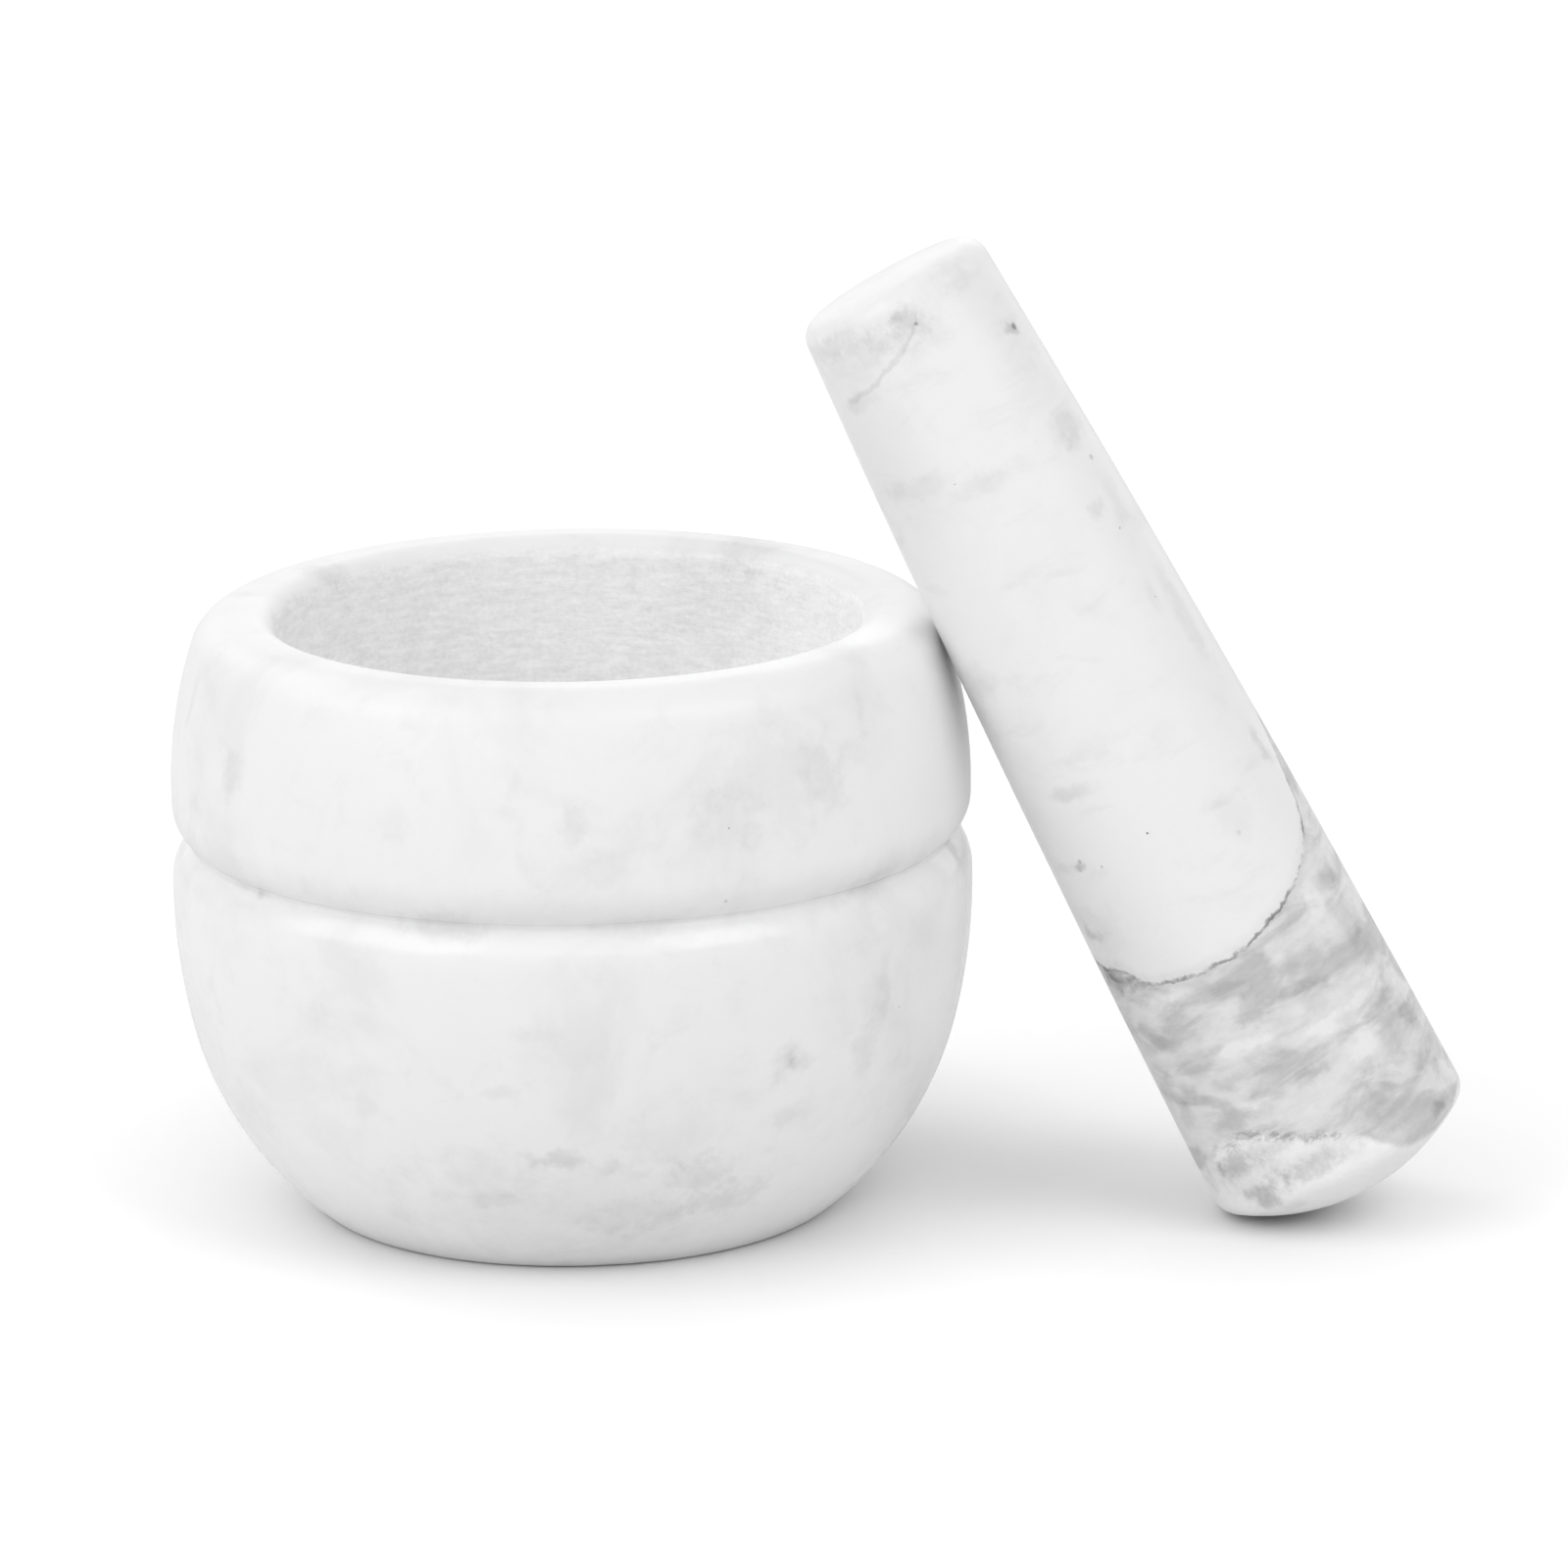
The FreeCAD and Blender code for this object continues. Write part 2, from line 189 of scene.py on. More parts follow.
tent = bpy.data.worlds.new("tent")
tent.use_nodes = True
tent_light = tent.node_tree.nodes["Background"]
tent_light.inputs["Color"].default_value = (1, 1, 1, 1)
tree = tent.node_tree
towards = add_node(tree, "ShaderNodeTexCoord").outputs["Generated"]
facing_sheet = add_node(tree, "ShaderNodeVectorMath", {0: towards, 1: SHEET_SIDE}, operation="DOT_PRODUCT")
upward = add_node(tree, "ShaderNodeSeparateXYZ", {0: towards}).outputs[2]
behind = smooth_step(tree, facing_sheet.outputs["Value"], SHEET_EDGE, SHEET_MIDDLE)
low_down = less(tree, smooth_step(tree, upward, SHEET_TOP_START, SHEET_TOP_END))
sheet = maths(tree, "MULTIPLY", behind, low_down)
strength = maths(tree, "MULTIPLY_ADD", sheet, SHEET_BRIGHTNESS, TENT_BRIGHTNESS)
looked_at = add_node(tree, "ShaderNodeLightPath").outputs["Is Camera Ray"]
tree.links.new(blend(tree, looked_at, strength, BACKDROP_WHITE), tent_light.inputs["Strength"])
scene.world = tent

for box_name, box_values in SOFT_BOXES.items():
    softbox(box_name, *box_values)

paper_mesh = bpy.data.meshes.new("paper")
half = PAPER_SIZE / 2
corners = [(-half, -half, 0), (half, -half, 0), (half, half, 0), (-half, half, 0)]
paper_mesh.from_pydata(corners, [], [(0, 1, 2, 3)])
paper = bpy.data.objects.new("paper", paper_mesh)
paper.location.z = lowest.z - PAPER_DROP
scene.collection.objects.link(paper)
paper_material, tree, output = new_material("white_paper")
# The open paper is burnt out to white, far off most of all. Close under the pieces its colour is darkened by
# its ambient occlusion: a painted contact shadow, seen by the camera only.
painted_shadow_openness = add_node(
    tree, "ShaderNodeAmbientOcclusion", {"Distance": PAINTED_SHADOW_REACH}, samples=PAINTED_SHADOW_RAYS).outputs["AO"]
exposed_with_painted_shadow = maths(
    tree, "MULTIPLY_ADD", painted_shadow_openness, PAPER_BURNT_OUT * PAINTED_SHADOW_DEPTH, PAPER_BURNT_OUT * (1 - PAINTED_SHADOW_DEPTH))
on_paper = add_node(tree, "ShaderNodeTexCoord").outputs["Object"]
from_middle = add_node(tree, "ShaderNodeVectorMath", {0: on_paper}, operation="LENGTH").outputs["Value"]
far_off = smooth_step(tree, from_middle, FAR_PAPER_START, FAR_PAPER_END)
exposed_with_painted_shadow = maths(tree, "MULTIPLY", exposed_with_painted_shadow, maths(tree, "MULTIPLY_ADD", far_off, FAR_PAPER_GAIN, 1.0))
looked_at = add_node(tree, "ShaderNodeLightPath").outputs["Is Camera Ray"]
matte = add_node(tree, "ShaderNodeBsdfDiffuse", {"Color": blend(tree, looked_at, PAPER_WHITE, exposed_with_painted_shadow)})
tree.links.new(matte.outputs[0], output.inputs["Surface"])
paper_mesh.materials.append(paper_material)

# ---- Mortar ----
# One block of white marble, turned outside, grooved round the waist and polished up to the mouth. The bowl
# is ground, so it is matt and faintly ribbed round its wall.

FOOT_RADIUS = 0.0321
FOOT_EDGE = 0.0012
FLARE_CURVE = 0.043
BELLY_RADIUS = 0.050
BELLY_HEIGHT = 0.041
BELLY_CURVE = 0.0732
LOWER_LIP = 0.0065
GROOVE_RADIUS = 0.0476
GROOVE_HEIGHT = 0.0474
GROOVE_ROOT = 0.0006
UPPER_LIP = 0.00505
COLLAR_RADIUS = 0.0499
COLLAR_HEIGHT = 0.0539
COLLAR_CURVE = 0.05615
SHOULDER_ROUND = 0.0056
MOUTH_RADIUS = 0.0365
MOUTH_ROUND = 0.0031
BOWL_CURVE = 0.034
BOWL_DEPTH = 0.056
RING_POINTS = 320
ARC_STEP = math.radians(9)
SAME_PLACE = 1e-6


def touching_centre(first, second, to_left):
    """The point first[1] from the point first[0] and second[1] from second[0], on one side of their line."""
    span = second[0] - first[0]
    along = (span.length_squared + first[1] ** 2 - second[1] ** 2) / (2 * span.length)
    aside = math.sqrt(first[1] ** 2 - along ** 2)
    direction = span.normalized()
    sideways = Vector((-direction.y, direction.x)) * (1 if to_left else -1)
    return first[0] + along * direction + aside * sideways


def arc_points(centre, radius, start, stop, spacing):
    """Points on an arc from one angle to another, close enough to stay smooth."""
    steps = max(math.ceil(abs(stop - start) * radius / spacing), math.ceil(abs(stop - start) / ARC_STEP))
    angles = np.linspace(start, stop, steps + 1)
    return [centre + radius * Vector((math.cos(angle), math.sin(angle))) for angle in angles]


def line_points(start, stop, spacing):
    """Points on a straight line, at about this spacing."""
    steps = max(math.ceil((stop - start).length / spacing), 1)
    return [start.lerp(stop, step / steps) for step in range(steps + 1)]


def heading(start, stop):
    """The angle of the way from one point to another."""
    return math.atan2(stop.y - start.y, stop.x - start.x)


def turned_mesh(name, outline, relief):
    """Turn an outline of (radius, height) points round the Z axis. relief is how far a point stands out."""
    points = [outline[0]]
    for place in outline[1:]:
        if (place - points[-1]).length > SAME_PLACE:
            points.append(place)
    rings = points[1:-1]
    vertices = []
    for number, ring in enumerate(rings):
        along = (points[number + 2] - points[number]).normalized()
        out = Vector((along.y, -along.x))
        for step in range(RING_POINTS):
            turn = 2 * math.pi * step / RING_POINTS
            aside = Vector((math.sin(turn), -math.cos(turn), 0))
            place = ring.x * aside + Vector((0, 0, ring.y))
            normal = out.x * aside + Vector((0, 0, out.y))
            vertices.append(place + relief(place) * normal)
    faces = []
    for number in range(len(rings) - 1):
        low = number * RING_POINTS
        for step in range(RING_POINTS):
            following = (step + 1) % RING_POINTS
            high = low + RING_POINTS
            faces.append((low + step, low + following, high + following, high + step))
    first_pole = len(vertices)
    vertices.append(Vector((0, 0, points[0].y)))
    vertices.append(Vector((0, 0, points[-1].y)))
    last_ring = first_pole - RING_POINTS
    for step in range(RING_POINTS):
        following = (step + 1) % RING_POINTS
        faces.append((first_pole, following, step))
        faces.append((last_ring + step, last_ring + following, first_pole + 1))
    mesh = bpy.data.meshes.new(name)
    mesh.from_pydata(vertices, [], faces)
    mesh.shade_smooth()
    mesh.update()
    piece = bpy.data.objects.new(name, mesh)
    scene.collection.objects.link(piece)
    return piece


mortar_low, mortar_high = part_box("mortar")
crown_height = mortar_high.z - mortar_low.z
edge_centre = Vector((FOOT_RADIUS, FOOT_EDGE))
belly_centre = Vector((BELLY_RADIUS - BELLY_CURVE, BELLY_HEIGHT))
root_centre = Vector((GROOVE_RADIUS + GROOVE_ROOT, GROOVE_HEIGHT))
collar_centre = Vector((COLLAR_RADIUS - COLLAR_CURVE, COLLAR_HEIGHT))
flare_centre = touching_centre(
    (edge_centre, FLARE_CURVE - FOOT_EDGE), (belly_centre, BELLY_CURVE - FLARE_CURVE), False)
lower_lip_centre = touching_centre(
    (belly_centre, BELLY_CURVE - LOWER_LIP), (root_centre, GROOVE_ROOT + LOWER_LIP), False)
upper_lip_centre = touching_centre(
    (root_centre, GROOVE_ROOT + UPPER_LIP), (collar_centre, COLLAR_CURVE - UPPER_LIP), False)
shoulder_height = crown_height - SHOULDER_ROUND
shoulder_rise = shoulder_height - COLLAR_HEIGHT
shoulder_reach = math.sqrt((COLLAR_CURVE - SHOULDER_ROUND) ** 2 - shoulder_rise ** 2)
shoulder_centre = Vector((collar_centre.x + shoulder_reach, shoulder_height))
mouth_centre = Vector((MOUTH_RADIUS + MOUTH_ROUND, crown_height - MOUTH_ROUND))
bowl_centre = Vector((0, crown_height - BOWL_DEPTH + BOWL_CURVE))
# The wall is the straight line that touches the mouth's rounding on one side and the bowl's on the other.
span = mouth_centre - bowl_centre
wall_turn = heading(bowl_centre, mouth_centre) - math.acos((BOWL_CURVE + MOUTH_ROUND) / span.length)

STEP_FOOT = FOOT_RADIUS / 6
STEP_OUTSIDE = 0.0009
STEP_FINE = 0.0004
STEP_BOWL = 0.00065
mortar_outline = line_points(Vector((0, 0)), Vector((FOOT_RADIUS, 0)), STEP_FOOT)
mortar_outline += arc_points(
    edge_centre, FOOT_EDGE, -math.pi / 2, heading(flare_centre, edge_centre), STEP_FINE)
mortar_outline += arc_points(
    flare_centre, FLARE_CURVE, heading(flare_centre, edge_centre), heading(belly_centre, flare_centre),
    STEP_OUTSIDE)
mortar_outline += arc_points(
    belly_centre, BELLY_CURVE, heading(belly_centre, flare_centre), heading(belly_centre, lower_lip_centre),
    STEP_OUTSIDE)
mortar_outline += arc_points(
    lower_lip_centre, LOWER_LIP, heading(belly_centre, lower_lip_centre),
    heading(lower_lip_centre, root_centre), STEP_FINE)
mortar_outline += arc_points(
    root_centre, GROOVE_ROOT, 2 * math.pi + heading(root_centre, lower_lip_centre),
    heading(root_centre, upper_lip_centre), STEP_FINE)
mortar_outline += arc_points(
    upper_lip_centre, UPPER_LIP, heading(upper_lip_centre, root_centre),
    heading(collar_centre, upper_lip_centre), STEP_FINE)
mortar_outline += arc_points(
    collar_centre, COLLAR_CURVE, heading(collar_centre, upper_lip_centre),
    heading(collar_centre, shoulder_centre), STEP_OUTSIDE)
mortar_outline += arc_points(
    shoulder_centre, SHOULDER_ROUND, heading(collar_centre, shoulder_centre), math.pi / 2, STEP_FINE)
mortar_outline += arc_points(mouth_centre, MOUTH_ROUND, math.pi / 2, math.pi + wall_turn, STEP_FINE)
wall_top = mouth_centre - MOUTH_ROUND * Vector((math.cos(wall_turn), math.sin(wall_turn)))
wall_bottom = bowl_centre + BOWL_CURVE * Vector((math.cos(wall_turn), math.sin(wall_turn)))
mortar_outline += line_points(wall_top, wall_bottom, STEP_BOWL)
mortar_outline += arc_points(bowl_centre, BOWL_CURVE, wall_turn, -math.pi / 2, STEP_BOWL)


GROUND_RADIUS = 0.0371
BOWL_FLOOR_CLEAR = 0.012
RIB_HEIGHT = 0.00004
RIB_SCALE = Vector((40, 40, 900))
GRIT_HEIGHT = 0.00003
GRIT_SCALE = 700
WAVE_HEIGHT = 0.00004
WAVE_SCALE = 55
PAD_MARK_HEIGHT = 0.000008
PAD_MARK_SCALE = 260


def mortar_relief(place):
    """Hand polishing leaves the outside a few hundredths of a millimetre out. The bowl is rough."""
    if math.hypot(place.x, place.y) < GROUND_RADIUS and place.z > BOWL_FLOOR_CLEAR:
        ribs = noise.noise(place * RIB_SCALE)
        return RIB_HEIGHT * ribs + GRIT_HEIGHT * noise.noise(place * GRIT_SCALE)
    waves = WAVE_HEIGHT * noise.noise(place * WAVE_SCALE)
    return waves + PAD_MARK_HEIGHT * noise.noise(place * PAD_MARK_SCALE)


def new_group(name, inputs, outputs):
    """A shader node group. Its inputs are {name: (kind, value)} and its outputs {name: kind}."""
    group = bpy.data.node_groups.new(name, "ShaderNodeTree")
    for socket_name, (kind, value) in inputs.items():
        socket = group.interface.new_socket(socket_name, in_out="INPUT", socket_type=f"NodeSocket{kind}")
        socket.default_value = value
    for socket_name, kind in outputs.items():
        group.interface.new_socket(socket_name, in_out="OUTPUT", socket_type=f"NodeSocket{kind}")
    return group, group.nodes.new("NodeGroupInput").outputs, group.nodes.new("NodeGroupOutput").inputs


def group_node(tree, group, sockets):
    """Place a node group in a material, with its inputs by name."""
    placed = add_node(tree, "ShaderNodeGroup", node_tree=group)
    for socket, source in sockets.items():
        if isinstance(source, bpy.types.NodeSocket):
            tree.links.new(source, placed.inputs[socket])
        else:
            placed.inputs[socket].default_value = source
    return placed


def cloud(tree, position, scale, detail, roughness, distortion=0.0):
    """Fractal noise from 0 to 1 in solid space."""
    pattern = add_node(tree, "ShaderNodeTexNoise", {
        "Vector": position, "Scale": scale, "Detail": detail, "Roughness": roughness,
        "Distortion": distortion})
    return pattern.outputs["Fac"]


def vector_maths(tree, operation, *values):
    """One step of arithmetic on vectors."""
    return add_node(tree, "ShaderNodeVectorMath", dict(enumerate(values)), operation=operation).outputs[0]


def length_of(tree, vector):
    """How long a vector is."""
    return add_node(tree, "ShaderNodeVectorMath", {0: vector}, operation="LENGTH").outputs["Value"]


def near(tree, distance, inner, outer):
    """1 within inner of a line, 0 beyond outer. distance is from the line, to either side."""
    return less(tree, smooth_step(tree, maths(tree, "ABSOLUTE", distance), inner, outer))


# Stone warp: moves a place in the block a little, so that no patch or vein has a drawn edge.
SWIRL_DETAIL = 3.0
SWIRL_ROUGHNESS = 0.6
NOISE_MIDDLE = 0.5
ORIGIN = (0.0, 0.0, 0.0)

stone_warp, given, result = new_group(
    "stone_warp", {"Position": ("Vector", ORIGIN), "Scale": ("Float", 200.0), "Amount": ("Float", 0.004)},
    {"Warped": "Vector"})
swirl = add_node(stone_warp, "ShaderNodeTexNoise", {
    "Vector": given["Position"], "Scale": given["Scale"],
    "Detail": SWIRL_DETAIL, "Roughness": SWIRL_ROUGHNESS})
centred = vector_maths(stone_warp, "SUBTRACT", swirl.outputs["Color"], (NOISE_MIDDLE,) * 3)
shifted = add_node(stone_warp, "ShaderNodeVectorMath", {0: centred, 3: given["Amount"]}, operation="SCALE")
moved = vector_maths(stone_warp, "ADD", given["Position"], shifted.outputs[0])
stone_warp.links.new(moved, result["Warped"])

# Stone patch: a soft grey cloud of one size at one place in the block. Ragged tears its edge.
PATCH_SIZE = (0.004, 0.004, 0.004)
PATCH_SOFTNESS = 0.9
SPECK_SOFTNESS = 0.5

stone_patch, given, result = new_group("stone_patch", {
    "Position": ("Vector", ORIGIN), "Centre": ("Vector", ORIGIN), "Size": ("Vector", PATCH_SIZE),
    "Softness": ("Float", PATCH_SOFTNESS), "Ragged": ("Float", 0.0)}, {"Mask": "Float"})
offset = vector_maths(stone_patch, "SUBTRACT", given["Position"], given["Centre"])
distance = length_of(stone_patch, vector_maths(stone_patch, "DIVIDE", offset, given["Size"]))
torn = maths(stone_patch, "ADD", distance, given["Ragged"])
fade = smooth_step(stone_patch, torn, less(stone_patch, given["Softness"]), 1.0)
stone_patch.links.new(less(stone_patch, fade), result["Mask"])

# Marble ground: the faint clouds, the mottling and the sugar-fine grain that all of the stone has.
# Each pattern here and below is its scale, detail, roughness and, where it has one, its distortion.
BROAD_CLOUDS = (42.0, 5.0, 0.6, 0.5)
BROAD_START = 0.43
BROAD_FULL = 0.72
SMALL_CLOUDS = (150.0, 5.0, 0.68, 0.4)
SMALL_START = 0.48
SMALL_FULL = 0.76
SMALL_SHARE = 0.6
SUGAR_GRAIN = (2600.0, 2.0, 0.6)
GRAIN_DARKNESS = 0.02

marble_ground, given, result = new_group("marble_ground", {
    "Position": ("Vector", ORIGIN), "Seed": ("Vector", ORIGIN), "Clouds": ("Float", 0.06)},
    {"Darkness": "Float"})
moved = vector_maths(marble_ground, "ADD", given["Position"], given["Seed"])
broad = smooth_step(marble_ground, cloud(marble_ground, moved, *BROAD_CLOUDS), BROAD_START, BROAD_FULL)
small = smooth_step(marble_ground, cloud(marble_ground, moved, *SMALL_CLOUDS), SMALL_START, SMALL_FULL)
grain = maths(marble_ground, "SUBTRACT", cloud(marble_ground, moved, *SUGAR_GRAIN), NOISE_MIDDLE)
both = maths(marble_ground, "MULTIPLY_ADD", small, SMALL_SHARE, broad)
cloudy = maths(marble_ground, "MULTIPLY", both, given["Clouds"])
darkness = maths(marble_ground, "MULTIPLY_ADD", grain, GRAIN_DARKNESS, cloudy)
marble_ground.links.new(darkness, result["Darkness"])

# Polish: roughness that a hand-held pad leaves uneven, and the ripple that it leaves in the reflections.
PAD_WIPES = (130.0, 3.0, 0.55)
PAD_RIPPLES = (480.0, 2.0, 0.55)
WIPES_LOW = 0.3
WIPES_HIGH = 0.7

polish, given, result = new_group("polish", {
    "Position": ("Vector", ORIGIN), "Least": ("Float", 0.12), "Most": ("Float", 0.26)},
    {"Roughness": "Float", "Height": "Float"})
wiped = add_node(polish, "ShaderNodeMapRange", {
    "Value": cloud(polish, given["Position"], *PAD_WIPES), "From Min": WIPES_LOW, "From Max": WIPES_HIGH,
    "To Min": given["Least"], "To Max": given["Most"]})
polish.links.new(wiped.outputs[0], result["Roughness"])
polish.links.new(cloud(polish, given["Position"], *PAD_RIPPLES), result["Height"])


def place_round(degrees, radius, height):
    """The point at this bearing from the front, radius and height."""
    turn = math.radians(degrees)
    return (radius * math.sin(turn), -radius * math.cos(turn), height)


def place_on(outline, degrees, height):
    """The point on the outside of a turned piece at this bearing from the front and this height."""
    radius = next(
        start.x + (stop.x - start.x) * (height - start.y) / (stop.y - start.y)
        for start, stop in zip(outline, outline[1:])
        if start.y <= height < stop.y
    )
    return place_round(degrees, radius, height)


def add_patches(tree, position, ragged, patches, outline):
    """Sum of the patches' darkness. A patch is (bearing, height), half sizes across and up, and darkness."""
    total = 0.0
    for (degrees, height), across, up, darkness in patches:
        mask = group_node(tree, stone_patch, {
            "Position": position, "Centre": place_on(outline, degrees, height), "Size": (across, across, up),
            "Ragged": ragged})
        total = maths(tree, "MULTIPLY_ADD", mask.outputs["Mask"], darkness, total)
    return total


def add_specks(tree, position, dark, specks, outline):
    """The darkness with small specks added. A speck is its bearing, height, half size and darkness."""
    for degrees, height, size, darkness in specks:
        mask = group_node(tree, stone_patch, {
            "Position": position, "Centre": place_on(outline, degrees, height), "Size": (size, size, size),
            "Softness": SPECK_SOFTNESS})
        dark = maths(tree, "MULTIPLY_ADD", mask.outputs["Mask"], darkness, dark)
    return dark


MARBLE_WHITE = 0.872
STONE_IOR = 1.5
SOAK_SHARE = 0.25
SOAK_DEPTH = 0.0016
SOAK_COLOURS = (1, 1, 1)


def add_marble(tree, output, dark, roughness, height):
    """The marble's shader: white stone less the darkness, with light that soaks a little way into it."""
    shade = maths(tree, "MULTIPLY", less(tree, dark), MARBLE_WHITE)
    colour = add_node(tree, "ShaderNodeCombineColor", {0: shade, 1: shade, 2: shade})
    relief = add_node(tree, "ShaderNodeBump", {"Height": height, "Distance": 1.0, "Strength": 1.0})
    marble = add_node(tree, "ShaderNodeBsdfPrincipled", {
        "Base Color": colour.outputs[0], "Roughness": roughness, "IOR": STONE_IOR,
        "Normal": relief.outputs[0], "Subsurface Weight": SOAK_SHARE, "Subsurface Radius": SOAK_COLOURS,
        "Subsurface Scale": SOAK_DEPTH})
    tree.links.new(marble.outputs[0], output.inputs["Surface"])


# Where the grey clouds lie: degrees round from the front towards the pestle, height, half sizes and darkness.
MORTAR_PATCHES = [
    ((41, 0.0281), 0.0046, 0.0036, 0.10),
    ((41, 0.0281), 0.0022, 0.0018, 0.12),
    ((41, 0.0210), 0.0040, 0.0026, 0.07),
    ((5, 0.0177), 0.0052, 0.0020, 0.13),
    ((-4, 0.0116), 0.0048, 0.0022, 0.08),
    ((14, 0.0165), 0.0040, 0.0016, 0.07),
    ((28, 0.0140), 0.0056, 0.0046, 0.10),
    ((17, 0.0085), 0.0100, 0.0040, 0.09),
    ((2, 0.0350), 0.0056, 0.0022, 0.06),
    ((-2, 0.0270), 0.0030, 0.0014, 0.06),
    ((22, 0.0200), 0.0120, 0.0080, 0.05),
    ((8, 0.0100), 0.0340, 0.0120, 0.045),
    ((-6, 0.0150), 0.0120, 0.0060, 0.04),
    ((34, 0.0100), 0.0080, 0.0040, 0.08),
    ((9, 0.0605), 0.0030, 0.0042, 0.08),
    ((14, 0.0550), 0.0050, 0.0036, 0.05),
    ((-17, 0.0600), 0.0040, 0.0036, 0.04),
    ((40, 0.0640), 0.0150, 0.0105, 0.055),
    ((47, 0.0640), 0.0052, 0.0070, 0.05),
    ((56, 0.0700), 0.0016, 0.0080, 0.05),
    ((30, 0.0590), 0.0085, 0.0065, 0.04),
    ((-48, 0.0625), 0.0030, 0.0055, 0.08),
    ((-66, 0.0680), 0.0020, 0.0072, 0.06),
    ((-60, 0.0560), 0.0024, 0.0040, 0.04),
    ((-10, 0.0475), 0.0085, 0.0028, 0.10),
    ((19, 0.0480), 0.0090, 0.0024, 0.05),
    ((56, 0.0480), 0.0070, 0.0030, 0.08),
    ((-44, 0.0470), 0.0016, 0.0018, 0.16),
    ((86, 0.0462), 0.0034, 0.0040, 0.20),
    ((58, 0.0350), 0.0022, 0.0080, 0.07),
    ((55, 0.0280), 0.0030, 0.0060, 0.07),
    ((-33, 0.0180), 0.0070, 0.0060, 0.04),
    ((-24, 0.0230), 0.0030, 0.0024, 0.05),
    ((118, 0.0600), 0.0060, 0.0050, 0.08),
    ((150, 0.0330), 0.0110, 0.0060, 0.09),
    ((196, 0.0620), 0.0070, 0.0030, 0.07),
    ((215, 0.0240), 0.0060, 0.0090, 0.08),
    ((250, 0.0400), 0.0036, 0.0060, 0.08),
    ((285, 0.0200), 0.0080, 0.0040, 0.06),
]
# On the rim: bearing and radius, half size and darkness.
RIM_PATCHES = [
    ((-118, 0.0372), 0.0060, 0.09),
    ((152, 0.0390), 0.0075, 0.09),
    ((-95, 0.0410), 0.0040, 0.05),
    ((60, 0.0420), 0.0050, 0.05),
]
MORTAR_SPECKS = [(30.9, 0.0590, 0.00014, 0.5), (30.4, 0.0499, 0.00030, 0.25), (62, 0.0316, 0.0002, 0.3)]
MORTAR_SEED = (0.31, 0.12, 0.07)
MORTAR_CLOUDS = 0.075
MORTAR_WARP_SCALE = 190.0
MORTAR_WARP = 0.0042
MORTAR_TEARS = (290.0, 5.0, 0.7)
TEAR_GAIN = 1.7
TEAR_MIDDLE = -0.85
MORTAR_MOTTLE = (420.0, 3.0, 0.6)
MOTTLE_GAIN = 1.3
MOTTLE_LEAST = 0.35
# Painted shade in the groove: its darkness, middle height and widths.
GROOVE_PAINTED_SHADE = 0.05
GROOVE_SHADE_MIDDLE = GROOVE_HEIGHT + 0.0022
GROOVE_SHADE_INNER = 0.0006
GROOVE_SHADE_OUTER = 0.0042
GROUND_EDGE = (900.0, 2.0, 0.55)
GROUND_EDGE_WANDER = 0.0008
GROUND_EDGE_WIDTH = 0.0006
RIBS_DRAWN_OUT = (0.22, 0.22, 1.0)
RIB_PATTERN = (1300.0, 3.0, 0.7)
PIT_PATTERN = (1500.0, 3.0, 0.6)
RIB_SHARE = 0.6
PIT_SHARE = 0.4
BOWL_CONTRAST = 0.55
# Painted shade across the bowl: how much darker it gets towards the left.
BOWL_PAINTED_SHADE_SLOPE = -1.4
BOWL_DARKNESS = -0.03
BOWL_ROUGHNESS = 0.85
BOWL_TOOTH = 0.00022
BELLY_GLOSS = {"Least": 0.13, "Most": 0.24}
COLLAR_ROUGHNESS = 0.40
COLLAR_FADE = 0.0012
RIPPLE_HEIGHT = 0.000004

mortar = turned_mesh("marble_mortar", mortar_outline, mortar_relief)
mortar_material, tree, output = new_material("mortar_marble")
place = add_node(tree, "ShaderNodeTexCoord").outputs["Object"]
warped = group_node(tree, stone_warp, {
    "Position": place, "Scale": MORTAR_WARP_SCALE, "Amount": MORTAR_WARP}).outputs["Warped"]
ground = group_node(tree, marble_ground, {
    "Position": place, "Seed": MORTAR_SEED, "Clouds": MORTAR_CLOUDS}).outputs["Darkness"]
ragged = maths(tree, "MULTIPLY_ADD", cloud(tree, place, *MORTAR_TEARS), TEAR_GAIN, TEAR_MIDDLE)
patchy = add_patches(tree, warped, ragged, MORTAR_PATCHES, mortar_outline)
for (degrees, radius), size, darkness in RIM_PATCHES:
    mask = group_node(tree, stone_patch, {
        "Position": warped, "Centre": place_round(degrees, radius, crown_height), "Size": (size, size, size),
        "Ragged": ragged})
    patchy = maths(tree, "MULTIPLY_ADD", mask.outputs["Mask"], darkness, patchy)
mottle = maths(tree, "MULTIPLY_ADD", cloud(tree, place, *MORTAR_MOTTLE), MOTTLE_GAIN, MOTTLE_LEAST)
dark = maths(tree, "MULTIPLY_ADD", patchy, mottle, ground)
# Painted shade in the groove: a grey band, darkest just under the collar, where the collar's underside turns
# down.
warped_height = add_node(tree, "ShaderNodeSeparateXYZ", {0: warped}).outputs[2]
groove_painted_shade = near(tree, maths(tree, "SUBTRACT", warped_height, GROOVE_SHADE_MIDDLE), GROOVE_SHADE_INNER, GROOVE_SHADE_OUTER)
dark = maths(tree, "MULTIPLY_ADD", maths(tree, "MULTIPLY", groove_painted_shade, mottle), GROOVE_PAINTED_SHADE, dark)
dark = add_specks(tree, place, dark, MORTAR_SPECKS, mortar_outline)
